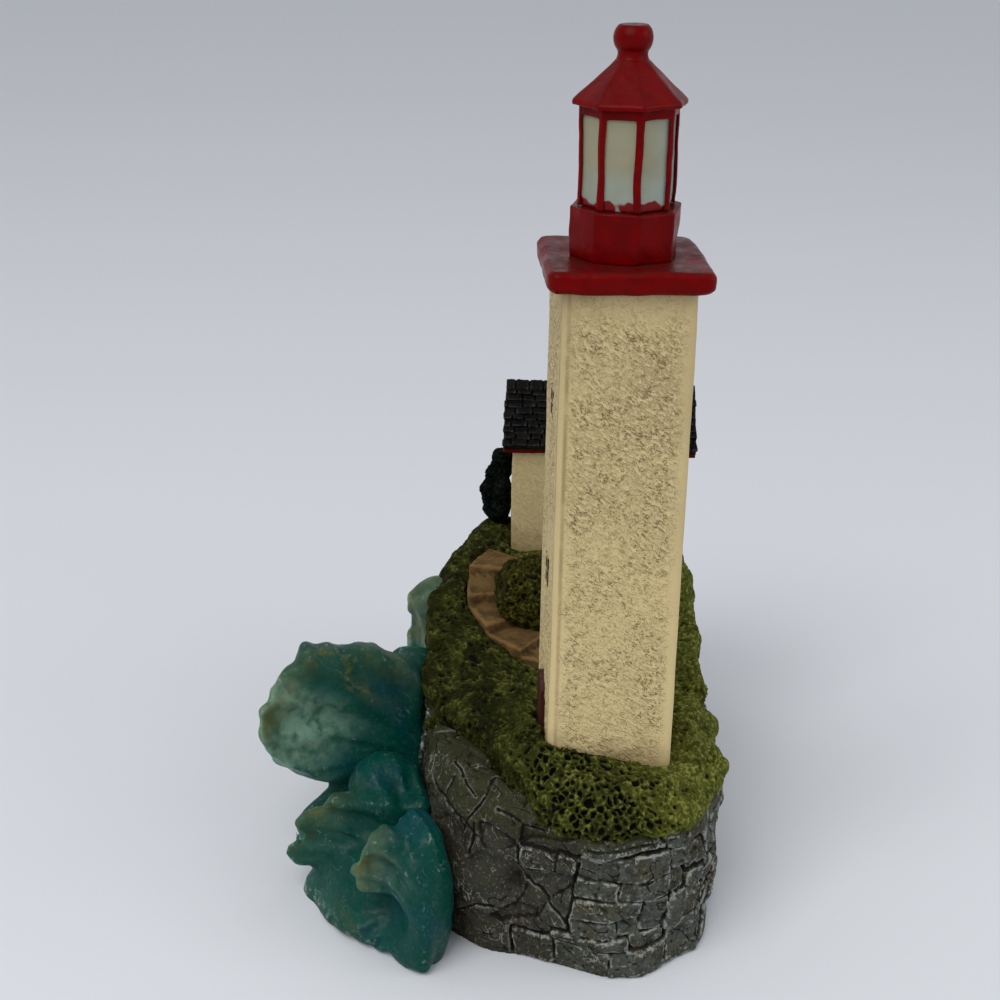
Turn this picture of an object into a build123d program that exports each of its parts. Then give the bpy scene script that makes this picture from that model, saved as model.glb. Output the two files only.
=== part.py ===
"""Lighthouse sculpture: a cast ornament of a square light tower and a keeper's cottage on a sea cliff.

The pieces are separate castings that seat on each other with tenons and sockets and are glued.
+X points to the tower end, -Y to the sea side with the waves, +Z up.
The origin is the middle of the cliff's flat underside. All sizes are in millimetres.
"""

import math
import os

from build123d import *

# Joints between castings
glue_gap = 0.15
tenon_depth = 5.0

# Cliff: stone courses stacked on one plan outline
cliff_length = 96.4
cliff_width = 55.0
cliff_facets = 40
plinth_height = 7.0
course_height = 4.0
bench_courses = 5
seat_step = 3.0
terrace_rise = 5.0
ledge_depth = 0.9
course_batter = 0.35
upper_inset = 3.2
joint_count = 16
joint_width = 0.8
joint_depth = 1.4
pad_margin = 5.0
pad_thickness = 1.0

# Light tower
tower_from_end = 22.2
tower_to_land = 1.5
tower_foot_width = 20.0
tower_top_width = 19.7
tower_height = 80.0
tower_corner = 1.2
tower_tenon_width = 12.0
tower_seat_margin = 1.5
shoulder_inset = 1.6

# Openings in the tower's sea face
opening_depth = 0.8
tower_door_width = 6.4
tower_door_height = 10.0
tower_door_sill = 4.4
tower_door_thickness = 1.5
tower_window_width = 3.6
tower_window_height = 5.0
tower_window_sills = (30.0, 58.0)
pane_thickness = 0.5

# Gallery and lantern
deck_width = 24.2
deck_thickness = 3.4
deck_corner = 1.8
deck_edge = 0.7
deck_tenon_width = 10.0
lantern_sides = 8
lantern_turn = 5.0
pedestal_foot_radius = 8.1
pedestal_top_radius = 8.4
pedestal_height = 7.3
dowel_radius = 3.0
dowel_length = 2.5
lantern_radius = 7.35
lantern_height = 14.3
mullion_width = 1.4
mullion_depth = 0.5
lantern_band = 1.3
lantern_roof_radius = 8.5
lantern_roof_edge = 0.7
lantern_roof_rise = 5.2
lantern_roof_neck = 2.7
finial_radius = 2.9
finial_neck = 2.2
finial_waist = 2.0
finial_shoulder = 2.5
finial_flat = 2.1
finial_height = 5.0
finial_pin_radius = 1.2
finial_pin_length = 3.0

# Keeper's cottage
cottage_from_end = 15.9
cottage_to_land = 6.5
cottage_turn = -6.0
cottage_length = 32.4
cottage_depth = 17.0
cottage_wall_height = 25.2
cottage_tenon_length = 18.0
cottage_tenon_width = 8.0
roof_pitch = 38.0
roof_deck = 1.1
roof_eave = 1.6
roof_gable_overhang = 1.7
shingle_courses = 10
shingle_butt = 0.45
shingle_width = 2.9
shingle_gap = 0.3
ridge_cap_width = 2.0
ridge_cap_thickness = 0.6
trim_width = 1.0
trim_height = 1.3
cottage_door_width = 4.6
cottage_door_height = 9.0
cottage_door_thickness = 1.1
cottage_window_width = 2.6
cottage_window_height = 3.6
cottage_window_spacing = 10.4
cottage_window_sill = 9.0

# Ground cover
turf_depth = 3.2
turf_overhang = 0.8
upper_overhang = -0.4
turf_skirt = 1.2
slope_start = 13.2
slope_end = 50.0
bank_split = 13.0
path_width = 8.0
path_treads = 6
path_kerb = 0.6
tread_rise = 0.4
doorstep_depth = 1.0
doorstep_length = 8.0
bush_radius = 7.6
bush_height = 9.5
bush_from_tower = 34.0
bush_to_sea = 8.5
shrub_radius = 3.2
shrub_height = 15.5
shrub_from_tower = 61.0
shrub_gap = 0.4
clump_corners = 20
lobe_depth = 0.13

# Waves of clear resin along the sea side
swell_reach = 17.0
lower_swell_height = 12.0
upper_swell_height = 20.0
rear_swell_height = 14.0
wave_split = 16.0
rear_split = 36.0
upper_crest_reach = 29.0
lower_crest_reach = 23.5
front_crest_reach = 16.0
rear_crest_reach = 6.0
crest_root = 9.0
crest_rim = 1.6
crest_bow = 0.35
crest_facets = 6

# Levels of the benches cut in the cliff
bench_z = plinth_height + bench_courses * course_height
tower_seat_z = bench_z + seat_step
terrace_z = tower_seat_z + terrace_rise
cottage_seat_z = terrace_z + terrace_rise
tower_x = cliff_length / 2 - tower_from_end
tower_y = tower_to_land
cottage_x = cottage_from_end - cliff_length / 2
cottage_y = cottage_to_land
tower_ground = tower_seat_z + turf_depth
cottage_ground = cottage_seat_z + turf_depth
sky = cottage_seat_z + cliff_length

# Plan outline of the cliff, as shares of its half length and half width, from the tower end by the land side
shore_shares = (
    (0.99, 0.00),
    (0.98, 0.24),
    (0.92, 0.45),
    (0.80, 0.64),
    (0.54, 0.77),
    (0.17, 0.79),
    (-0.25, 0.85),
    (-0.66, 0.90),
    (-0.91, 0.76),
    (-1.00, 0.36),
    (-0.97, -0.22),
    (-0.79, -0.65),
    (-0.46, -0.89),
    (-0.08, -1.00),
    (0.33, -1.00),
    (0.66, -0.94),
    (0.80, -0.77),
    (0.845, -0.51),
    (0.92, -0.25),
)
with BuildLine() as shore:
    shore_points = [(a * cliff_length / 2, b * cliff_width / 2) for a, b in shore_shares]
    shore_edge = Spline(*shore_points, periodic=True)


def faceted(rings):
    """Solid of flat facets through rings of corners, closed by its first and last ring."""
    facets = [Face(Wire.make_polygon(ring)) for ring in (rings[0], rings[-1])]
    for low, high in zip(rings, rings[1:]):
        for corner in range(len(low)):
            one, two = low[corner - 1], low[corner]
            three, four = high[corner], high[corner - 1]
            facets.append(Face(Wire.make_polygon((one, two, three))))
            facets.append(Face(Wire.make_polygon((one, three, four))))
    return Solid(Shell(facets))


# The courses above the tower's bench lie under the turf and stand in from the shore
upper_courses = (bench_courses + 2, bench_courses + 3)


def shore_place(share, out=0.0):
    """Point of the shore line at a share of its length, moved outwards, and the direction along it."""
    along = shore_edge.tangent_at(share)
    outward = along.rotate(Axis.Z, -90)
    return shore_edge.position_at(share) + outward * out, along


def course_outline(course, out):
    """Corners in plan of one stone course, whose ledges stand in and out round the cliff."""
    if course in upper_courses:
        out = out - upper_inset
    corners = []
    for corner in range(cliff_facets):
        ledge = ledge_depth * math.sin(2.4 * corner + 1.7 * course)
        corners.append(shore_place(corner / cliff_facets, out + ledge)[0])
    return [(p.X, p.Y) for p in corners]


def course_ring(course, level, out):
    """Corners of one stone course at a level."""
    return [Vector(x, y, level) for x, y in course_outline(course, out)]


def joint_planes(course, level):
    """Planes square to the shore at the upright joints of one course, staggered from course to course."""
    planes = []
    for joint in range(joint_count):
        share = (joint + 0.5 * (course % 2) + 0.18 * math.sin(3.1 * joint + course)) / joint_count
        place, along = shore_place(share % 1.0)
        planes.append(Plane(origin=(place.X, place.Y, level), x_dir=along, z_dir=(0, 0, 1)))
    return planes


def stone_course(course, low, high):
    """Block of one stone course between two levels, leaning in by the batter, with its upright joints.

    The courses above the tower's bench stop short of the tower.
    """
    rings = [course_ring(course, low, course_batter), course_ring(course, high, -course_batter)]
    with BuildPart() as block:
        add(faceted(rings))
        if course not in upper_courses:
            with Locations(*joint_planes(course, (low + high) / 2)):
                Box(joint_width, 2 * joint_depth, high - low - ledge_depth, mode=Mode.SUBTRACT)
        if course in bench_fronts:
            with BuildSketch(Plane.XY.offset(low)):
                with Locations((bench_fronts[course], 0)):
                    Rectangle(cliff_length, 2 * cliff_width, align=(Align.MIN, Align.CENTER))
            extrude(amount=high - low, mode=Mode.SUBTRACT)
    return block.part


# Heights of all courses, from the plinth to the cottage's bench
course_tops = [plinth_height + course_height * step for step in range(bench_courses + 1)]
course_tops += [tower_seat_z, terrace_z, cottage_seat_z]
course_lows = [0.0, *course_tops[:-1]]
slope_start_x = tower_x - slope_start
slope_end_x = tower_x - slope_end
slope_run = slope_start_x - slope_end_x
slope_fall = cottage_ground - tower_ground


def slope_x(level):
    """Where the ground between tower and cottage reaches a level."""
    return slope_start_x - slope_run * (level - tower_ground) / slope_fall


# Where the courses above the tower's bench end, so that turf covers them
bench_fronts = {
    bench_courses + 1: slope_start_x,
    bench_courses + 2: slope_x(terrace_z + turf_skirt),
    bench_courses + 3: slope_x(cottage_seat_z + turf_skirt),
}


def ground_z(x):
    """Height of the ground along the cliff."""
    share = min(max((slope_start_x - x) / slope_run, 0.0), 1.0)
    return tower_ground + slope_fall * share


cottage_plane = Plane(
    origin=(cottage_x, cottage_y, cottage_seat_z),
    x_dir=(math.cos(math.radians(cottage_turn)), math.sin(math.radians(cottage_turn)), 0),
    z_dir=(0, 0, 1),
)
gable_plane = Plane(origin=cottage_plane.origin, x_dir=cottage_plane.x_dir, z_dir=-cottage_plane.y_dir)
tower_plane = Plane(origin=(tower_x, tower_y, tower_seat_z), x_dir=(1, 0, 0), z_dir=(0, 0, 1))

# Edge in plan of the bare shoulder of rock at the corner on the sea side, from the tower's axis
shoulder_edge = (
    (-12.0, -28.5),
    (-6.0, -23.5),
    (0.5, -19.0),
    (8.0, -17.5),
    (14.0, -13.0),
    (22.0, -10.0),
)
shoulder_corners = [(tower_x + along, tower_y + across) for along, across in shoulder_edge]
shoulder_corners += [(cliff_length, shoulder_corners[-1][1]), (cliff_length, -cliff_length)]
shoulder_corners += [(shoulder_corners[0][0], -cliff_length)]


def shoulder_block(low, high, out):
    """Column over the corner of the cliff that the shoulder takes up."""
    with BuildPart() as column:
        with BuildSketch(Plane.XY.offset(low)):
            with BuildLine():
                Polyline(*course_outline(bench_courses + 1, out), close=True)
            make_face()
            with BuildLine():
                Polyline(*shoulder_corners, close=True)
            make_face(mode=Mode.INTERSECT)
        extrude(amount=high - low)
    return column.part


shoulder = shoulder_block(bench_z, tower_seat_z, -shoulder_inset)

# Cliff casting: courses, benches, sockets for the tenons and the recess for the pad
with BuildPart() as rock_base:
    add([stone_course(number, low, high) for number, (low, high) in enumerate(zip(course_lows, course_tops))])
    with BuildSketch(Plane.XY.offset(bench_z)):
        with Locations((tower_x, tower_y)):
            Rectangle(tower_foot_width + 2 * tower_seat_margin, tower_foot_width + 2 * tower_seat_margin)
    extrude(amount=seat_step)
    add(shoulder)
    with BuildSketch(tower_plane):
        Rectangle(tower_tenon_width + 2 * glue_gap, tower_tenon_width + 2 * glue_gap)
    extrude(amount=-tenon_depth - glue_gap, mode=Mode.SUBTRACT)
    with BuildSketch(cottage_plane):
        Rectangle(cottage_tenon_width + 2 * glue_gap, cottage_tenon_length + 2 * glue_gap)
    extrude(amount=-tenon_depth - glue_gap, mode=Mode.SUBTRACT)
    with BuildSketch():
        with BuildLine():
            Polyline(*course_outline(0, glue_gap - pad_margin), close=True)
        make_face()
    extrude(amount=pad_thickness, mode=Mode.SUBTRACT)

with BuildPart() as base_pad:
    with BuildSketch():
        with BuildLine():
            Polyline(*course_outline(0, -pad_margin), close=True)
        make_face()
    extrude(amount=pad_thickness)

# Tower: a square shaft with a tenon below and a socket for the deck above
tower_face_y = tower_y - tower_foot_width / 2
sea_face = Plane(origin=(tower_x, tower_face_y, tower_seat_z), x_dir=(1, 0, 0), z_dir=(0, -1, 0))
face_lean = math.degrees(math.atan2((tower_foot_width - tower_top_width) / 2, tower_height))
sea_face = sea_face.rotated((-face_lean, 0, 0))
door_spring = tower_door_height - tower_door_width / 2

with BuildPart() as tower_shaft:
    for level, width in ((0, tower_foot_width), (tower_height, tower_top_width)):
        with BuildSketch(tower_plane.offset(level)):
            RectangleRounded(width, width, tower_corner)
    loft(ruled=True)
    with BuildSketch(tower_plane):
        Rectangle(tower_tenon_width, tower_tenon_width)
    extrude(amount=-tenon_depth)
    with BuildSketch(tower_plane.offset(tower_height)):
        Rectangle(deck_tenon_width + 2 * glue_gap, deck_tenon_width + 2 * glue_gap)
    extrude(amount=-tenon_depth - glue_gap, mode=Mode.SUBTRACT)
    with BuildSketch(sea_face):
        with Locations(*[(0, sill + tower_window_height / 2) for sill in tower_window_sills]):
            Rectangle(tower_window_width, tower_window_height)
    extrude(amount=-opening_depth, mode=Mode.SUBTRACT)
    with BuildSketch(sea_face):
        with Locations((0, tower_door_sill)):
            Rectangle(tower_door_width, door_spring, align=(Align.CENTER, Align.MIN))
        with Locations((0, tower_door_sill + door_spring)):
            Circle(tower_door_width / 2)
    extrude(amount=-opening_depth, mode=Mode.SUBTRACT)

with BuildPart() as tower_door:
    with BuildSketch(sea_face.offset(-opening_depth)):
        with Locations((0, tower_door_sill + glue_gap)):
            Rectangle(
                tower_door_width - 2 * glue_gap,
                door_spring - glue_gap,
                align=(Align.CENTER, Align.MIN),
            )
        with Locations((0, tower_door_sill + door_spring)):
            Circle(tower_door_width / 2 - glue_gap)
    extrude(amount=tower_door_thickness)

with BuildPart() as tower_windows:
    with BuildSketch(sea_face.offset(-opening_depth)):
        with Locations(*[(0, sill + tower_window_height / 2) for sill in tower_window_sills]):
            Rectangle(tower_window_width - 2 * glue_gap, tower_window_height - 2 * glue_gap)
    extrude(amount=pane_thickness)

# Gallery deck and lantern, stacked on the tower's axis
deck_plane = tower_plane.offset(tower_height)
pedestal_plane = deck_plane.offset(deck_thickness)
lantern_plane = pedestal_plane.offset(pedestal_height)
lantern_roof_plane = lantern_plane.offset(lantern_height)
finial_plane = lantern_roof_plane.offset(lantern_roof_edge + lantern_roof_rise)
core_radius = lantern_radius - mullion_depth
half_side = math.pi / lantern_sides

with BuildPart() as gallery_deck:
    with BuildSketch(deck_plane):
        RectangleRounded(deck_width, deck_width, deck_corner)
    extrude(amount=deck_thickness)
    chamfer(gallery_deck.faces().sort_by(Axis.Z)[0].edges(), deck_edge)
    chamfer(gallery_deck.faces().sort_by(Axis.Z)[-1].edges(), deck_edge)
    with BuildSketch(deck_plane):
        Rectangle(deck_tenon_width, deck_tenon_width)
    extrude(amount=-tenon_depth)
    with BuildSketch(pedestal_plane):
        RegularPolygon(dowel_radius + glue_gap, lantern_sides, rotation=lantern_turn)
    extrude(amount=-dowel_length - glue_gap, mode=Mode.SUBTRACT)

pedestal_spread = (pedestal_top_radius - pedestal_foot_radius) * math.cos(half_side)
pedestal_flare = math.degrees(math.atan2(pedestal_spread, pedestal_height))
with BuildPart() as lantern_pedestal:
    with BuildSketch(pedestal_plane):
        RegularPolygon(pedestal_foot_radius, lantern_sides, rotation=lantern_turn)
    extrude(amount=pedestal_height, taper=-pedestal_flare)
    with BuildSketch(pedestal_plane):
        RegularPolygon(dowel_radius, lantern_sides, rotation=lantern_turn)
    extrude(amount=-dowel_length)
    with BuildSketch(lantern_plane):
        RegularPolygon(dowel_radius + glue_gap, lantern_sides, rotation=lantern_turn)
    extrude(amount=-dowel_length - glue_gap, mode=Mode.SUBTRACT)

with BuildPart() as lantern_core:
    with BuildSketch(lantern_plane):
        RegularPolygon(core_radius, lantern_sides, rotation=lantern_turn)
    extrude(amount=lantern_height)
    with BuildSketch(lantern_plane):
        RegularPolygon(dowel_radius, lantern_sides, rotation=lantern_turn)
    extrude(amount=-dowel_length)
    with BuildSketch(lantern_roof_plane):
        RegularPolygon(dowel_radius, lantern_sides, rotation=lantern_turn)
    extrude(amount=dowel_length)

pane_opening = 2 * lantern_radius * math.sin(half_side) - mullion_width
pane_angle = lantern_turn + math.degrees(half_side)
with BuildPart() as lantern_frame:
    with BuildSketch(lantern_plane):
        RegularPolygon(lantern_radius, lantern_sides, rotation=lantern_turn)
        RegularPolygon(core_radius + glue_gap, lantern_sides, rotation=lantern_turn, mode=Mode.SUBTRACT)
    extrude(amount=lantern_height)
    with Locations(lantern_plane.offset((lantern_height - lantern_band) / 2)):
        with PolarLocations(lantern_radius * math.cos(half_side), lantern_sides, start_angle=pane_angle):
            Box(4 * mullion_depth, pane_opening, lantern_height - lantern_band, mode=Mode.SUBTRACT)

roof_run_in = (lantern_roof_radius - lantern_roof_neck) * math.cos(half_side)
roof_lean = math.degrees(math.atan2(roof_run_in, lantern_roof_rise))
with BuildPart() as lantern_roof:
    with BuildSketch(lantern_roof_plane):
        RegularPolygon(lantern_roof_radius, lantern_sides, rotation=lantern_turn)
    extrude(amount=lantern_roof_edge)
    with BuildSketch(lantern_roof_plane.offset(lantern_roof_edge)):
        RegularPolygon(lantern_roof_radius, lantern_sides, rotation=lantern_turn)
    extrude(amount=lantern_roof_rise, taper=roof_lean)
    with BuildSketch(lantern_roof_plane):
        RegularPolygon(dowel_radius + glue_gap, lantern_sides, rotation=lantern_turn)
    extrude(amount=dowel_length + glue_gap, mode=Mode.SUBTRACT)
    with BuildSketch(finial_plane):
        RegularPolygon(finial_pin_radius + glue_gap, lantern_sides)
    extrude(amount=-finial_pin_length - glue_gap, mode=Mode.SUBTRACT)

finial_axis = Axis(finial_plane.origin, (0, 0, 1))
finial_waist_z, finial_shoulder_z, finial_wide_z = [share * finial_height for share in (0.18, 0.36, 0.66)]
with BuildPart() as roof_finial:
    with BuildSketch(Plane(origin=finial_plane.origin, x_dir=(1, 0, 0), z_dir=(0, -1, 0))):
        with BuildLine():
            Polyline((0, finial_height), (0, 0), (finial_neck, 0))
            ThreePointArc(
                (finial_neck, 0),
                (finial_waist, finial_waist_z),
                (finial_shoulder, finial_shoulder_z),
            )
            ThreePointArc(
                (finial_shoulder, finial_shoulder_z),
                (finial_radius, finial_wide_z),
                (finial_flat, finial_height),
            )
            Line((finial_flat, finial_height), (0, finial_height))
        make_face()
    revolve(axis=finial_axis)
    with BuildSketch(finial_plane):
        RegularPolygon(finial_pin_radius, lantern_sides)
    extrude(amount=-finial_pin_length)

# Cottage: gabled walls, shingled roof on both slopes, ridge cap and red eaves trim
pitch = math.radians(roof_pitch)
roof_run = cottage_depth / 2 + roof_eave
roof_length = cottage_length + 2 * roof_gable_overhang
wall_top = cottage_wall_height
gable_top = wall_top + cottage_depth / 2 * math.tan(pitch)
slope_length = roof_run / math.cos(pitch)
exposure = slope_length / shingle_courses


def slope_point(along, lift):
    """Point of the right-hand slope: along it from the eave, and lifted square off the rafters."""
    x = roof_run - along * math.cos(pitch) + lift * math.sin(pitch)
    z = gable_top - roof_run * math.tan(pitch) + along * math.sin(pitch) + lift * math.cos(pitch)
    return x, z


with BuildPart() as cottage_walls:
    with BuildSketch(gable_plane):
        with BuildLine():
            Polyline(
                (-cottage_depth / 2, 0),
                (cottage_depth / 2, 0),
                (cottage_depth / 2, wall_top),
                (0, gable_top),
                (-cottage_depth / 2, wall_top),
                close=True,
            )
        make_face()
    extrude(amount=cottage_length / 2, both=True)
    with BuildSketch(cottage_plane):
        Rectangle(cottage_tenon_width, cottage_tenon_length)
    extrude(amount=-tenon_depth)
    with BuildSketch(gable_plane.offset(cottage_length / 2)):
        with Locations((0, turf_depth + cottage_door_height / 2)):
            Rectangle(cottage_door_width, cottage_door_height)
        with Locations((0, turf_depth + cottage_window_sill)):
            with GridLocations(cottage_window_spacing, 0, 2, 1):
                Rectangle(cottage_window_width, cottage_window_height)
    extrude(amount=-opening_depth, mode=Mode.SUBTRACT)

with BuildPart() as cottage_door:
    with BuildSketch(gable_plane.offset(cottage_length / 2 - opening_depth)):
        with Locations((0, turf_depth + cottage_door_height / 2)):
            Rectangle(cottage_door_width - 2 * glue_gap, cottage_door_height - 2 * glue_gap)
    extrude(amount=cottage_door_thickness)

with BuildPart() as cottage_windows:
    with BuildSketch(gable_plane.offset(cottage_length / 2 - opening_depth)):
        with Locations((0, turf_depth + cottage_window_sill)):
            with GridLocations(cottage_window_spacing, 0, 2, 1):
                Rectangle(cottage_window_width - 2 * glue_gap, cottage_window_height - 2 * glue_gap)
    extrude(amount=pane_thickness)

saw_teeth = [slope_point(0, 0)]
for step in range(shingle_courses):
    saw_teeth.append(slope_point(step * exposure, roof_deck + shingle_butt))
    saw_teeth.append(slope_point((step + 1) * exposure, roof_deck))
ridge_z = slope_point(slope_length, 0)[1]
with BuildPart() as cottage_roof:
    with BuildSketch(gable_plane):
        with BuildLine():
            Polyline((0, ridge_z), *saw_teeth[:-1], (0, ridge_z + roof_deck / math.cos(pitch)), close=True)
        make_face()
        mirror(about=Plane.YZ)
    extrude(amount=roof_length / 2, both=True)
    for side in (1, -1):
        for step in range(shingle_courses):
            x, z = slope_point((step + 0.5) * exposure, roof_deck + shingle_butt / 2)
            stagger = shingle_width / 2 * (step % 2)
            row = gable_plane.shift_origin(gable_plane.from_local_coords(Vector(side * x, z, 0)))
            row = row.rotated((0, 0, -side * roof_pitch))
            count = round(roof_length / shingle_width) - 1
            places = [stagger / 2 + shingle_width * (k - (count - 1) / 2) for k in range(count)]
            with Locations(*[row.offset(place) for place in places]):
                Box(exposure, shingle_butt, shingle_gap, mode=Mode.SUBTRACT)

cap_foot = ridge_cap_width * math.cos(pitch)
cap_low = ridge_z + (roof_deck + shingle_butt) / math.cos(pitch)
cap_rise = ridge_cap_thickness / math.cos(pitch)
with BuildPart() as ridge_cap:
    with BuildSketch(gable_plane):
        with BuildLine():
            Polyline(
                (0, cap_low),
                (cap_foot, cap_low - cap_foot * math.tan(pitch)),
                (cap_foot, cap_low - cap_foot * math.tan(pitch) + cap_rise),
                (0, cap_low + cap_rise),
                (-cap_foot, cap_low - cap_foot * math.tan(pitch) + cap_rise),
                (-cap_foot, cap_low - cap_foot * math.tan(pitch)),
                close=True,
            )
        make_face()
    extrude(amount=roof_length / 2, both=True)

trim_top = wall_top - trim_width * math.tan(pitch)
with BuildPart() as eaves_trim:
    with BuildSketch(gable_plane):
        with BuildLine():
            Polyline(
                (cottage_depth / 2, wall_top),
                (cottage_depth / 2, trim_top - trim_height),
                (cottage_depth / 2 + trim_width, trim_top - trim_height),
                (cottage_depth / 2 + trim_width, trim_top),
                close=True,
            )
        make_face()
        mirror(about=Plane.YZ)
    extrude(amount=roof_length / 2, both=True)

# Earth path: treads that climb from beside the tower round to the cottage
path_points = (
    (slope_start_x - slope_run * 0.20, tower_y + path_width * 0.55),
    (slope_start_x - slope_run * 0.29, tower_face_y + path_width * 0.05),
    (slope_start_x - slope_run * 0.48, tower_face_y - path_width * 0.66),
    (slope_start_x - slope_run * 0.75, tower_face_y - path_width * 0.90),
    (cottage_x + cottage_depth / 2 - path_kerb, tower_face_y - path_width * 0.40),
)
with BuildLine() as walk:
    walk_edge = Spline(*path_points)


def tread_corners(tread):
    """Corners in plan of one tread of the path."""
    corners = []
    for share, sides in ((tread / path_treads, (1, -1)), ((tread + 1) / path_treads, (-1, 1))):
        sideways = walk_edge.tangent_at(share).rotate(Axis.Z, 90) * (path_width / 2)
        corners += [walk_edge.position_at(share) + sideways * side for side in sides]
    return [(p.X, p.Y) for p in corners]


def path_run(tops):
    """Path from the bench up to the given tops of its treads, cut clear of the buildings."""
    with BuildPart() as run:
        for tread, top in enumerate(tops):
            with BuildSketch(Plane.XY.offset(bench_z)):
                with BuildLine():
                    Polyline(*tread_corners(tread), close=True)
                make_face()
            extrude(amount=top - bench_z)
        with BuildSketch(tower_plane.offset(-tenon_depth)):
            Rectangle(tower_foot_width + 2 * glue_gap, tower_foot_width + 2 * glue_gap)
        extrude(amount=tower_height, mode=Mode.SUBTRACT)
        with BuildSketch(cottage_plane.offset(-tenon_depth)):
            Rectangle(cottage_depth + 2 * glue_gap, cottage_length + 2 * glue_gap)
        extrude(amount=sky, mode=Mode.SUBTRACT)
    return run.part


tread_tops = []
for tread in range(path_treads):
    tread_tops.append(ground_z(walk_edge.position_at((tread + 0.5) / path_treads).X) + tread_rise)
path_column = path_run([sky] * path_treads)
with BuildPart() as footpath:
    add(path_run(tread_tops))
    add(rock_base.part, mode=Mode.SUBTRACT)

# Doorstep: a strip of the same earth at the foot of the tower's sea face
with BuildPart() as doorstep:
    with BuildSketch(Plane.XY.offset(bench_z)):
        with Locations((tower_x, tower_face_y - doorstep_depth / 2 - glue_gap)):
            Rectangle(doorstep_length, doorstep_depth)
    extrude(amount=tower_ground - bench_z)
    add(rock_base.part, mode=Mode.SUBTRACT)


def turf_mound(levels):
    """Cushion of turf that follows the shore line, from pairs of a level and how far it stands out."""
    return faceted([course_ring(len(course_tops), level, out) for level, out in levels])


# Turf round the tower's foot, which rolls over the edge of the bench
tower_mound = turf_mound(
    (
        (bench_z - turf_skirt, turf_overhang),
        (bench_z + turf_skirt, turf_overhang),
        (tower_seat_z, -turf_skirt),
        (tower_ground, -turf_depth - turf_skirt),
    )
)
with BuildPart() as tower_turf:
    add(tower_mound)
    with BuildSketch(Plane.XY):
        with Locations((slope_start_x + cliff_length / 2, 0)):
            Rectangle(cliff_length, 2 * cliff_width)
    extrude(amount=sky, mode=Mode.INTERSECT)
    with BuildSketch(tower_plane.offset(-tenon_depth)):
        Rectangle(tower_foot_width + 2 * glue_gap, tower_foot_width + 2 * glue_gap)
    extrude(amount=tower_height, mode=Mode.SUBTRACT)
    add(shoulder_block(bench_z - course_height, sky, course_height), mode=Mode.SUBTRACT)
    add(rock_base.part, mode=Mode.SUBTRACT)
    add(path_column, mode=Mode.SUBTRACT)
    add(doorstep.part, mode=Mode.SUBTRACT)

# Turf on the slope and round the cottage, split along the path into the sea bank and the land side
upper_mound = turf_mound(
    (
        (tower_seat_z, upper_overhang),
        (terrace_z, upper_overhang),
        (cottage_seat_z - turf_skirt, 2 * upper_overhang),
        (cottage_seat_z + turf_skirt, 2 * upper_overhang - turf_skirt),
        (cottage_ground, -turf_depth - turf_skirt),
    )
)


with BuildPart() as upper_turf:
    add(upper_mound)
    with BuildSketch(Plane.XZ.offset(-2 * cliff_width)):
        with BuildLine():
            Polyline(
                (slope_start_x, bench_z),
                (slope_start_x, tower_ground),
                (slope_end_x, cottage_ground),
                (-cliff_length, cottage_ground),
                (-cliff_length, bench_z),
                close=True,
            )
        make_face()
    extrude(amount=4 * cliff_width, mode=Mode.INTERSECT)
    with BuildSketch(cottage_plane.offset(-tenon_depth)):
        Rectangle(cottage_depth + 2 * glue_gap, cottage_length + 2 * glue_gap)
    extrude(amount=cottage_wall_height, mode=Mode.SUBTRACT)
    with BuildSketch(tower_plane.offset(-tenon_depth)):
        Rectangle(tower_foot_width + 2 * glue_gap, tower_foot_width + 2 * glue_gap)
    extrude(amount=tower_height, mode=Mode.SUBTRACT)
    add(rock_base.part, mode=Mode.SUBTRACT)
    add(path_column, mode=Mode.SUBTRACT)

with BuildPart() as land_side:
    add(upper_turf.part)
    with BuildSketch(Plane.XY):
        with Locations((0, cliff_width - bank_split)):
            Rectangle(2 * cliff_length, 2 * cliff_width)
    extrude(amount=sky, mode=Mode.INTERSECT)

with BuildPart() as land_turf:
    add(land_side.part.solids().sort_by(SortBy.VOLUME)[-1])

with BuildPart() as bank_side:
    add(upper_turf.part)
    add(land_turf.part, mode=Mode.SUBTRACT)

with BuildPart() as bank_turf:
    add(bank_side.part.solids().sort_by(SortBy.VOLUME)[-1])


def leaf_clump(x, y, low, radius, height, lobes):
    """Lobed clump of leaves: rings of corners that swell and draw in again towards the top."""
    rings = []
    for rise, share in ((0.0, 0.70), (0.22, 0.96), (0.5, 1.0), (0.78, 0.84), (0.94, 0.55), (1.0, 0.25)):
        corners = []
        for corner in range(clump_corners):
            angle = 2 * math.pi * corner / clump_corners
            reach = radius * share * (1 + lobe_depth * math.sin(lobes * angle))
            out = Vector(math.cos(angle), math.sin(angle)) * reach
            corners.append(Vector(x, y, low + rise * height) + out)
        rings.append(corners)
    return faceted(rings)


bush_x = tower_x - bush_from_tower
bush_low = ground_z(bush_x) - turf_depth / 2
with BuildPart() as garden_bush:
    add(leaf_clump(bush_x, tower_y - bush_to_sea, bush_low, bush_radius, bush_height + turf_depth / 2, 5))
    add(rock_base.part, mode=Mode.SUBTRACT)
    add(footpath.part, mode=Mode.SUBTRACT)
    add(land_turf.part, mode=Mode.SUBTRACT)
    add(bank_turf.part, mode=Mode.SUBTRACT)

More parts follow.
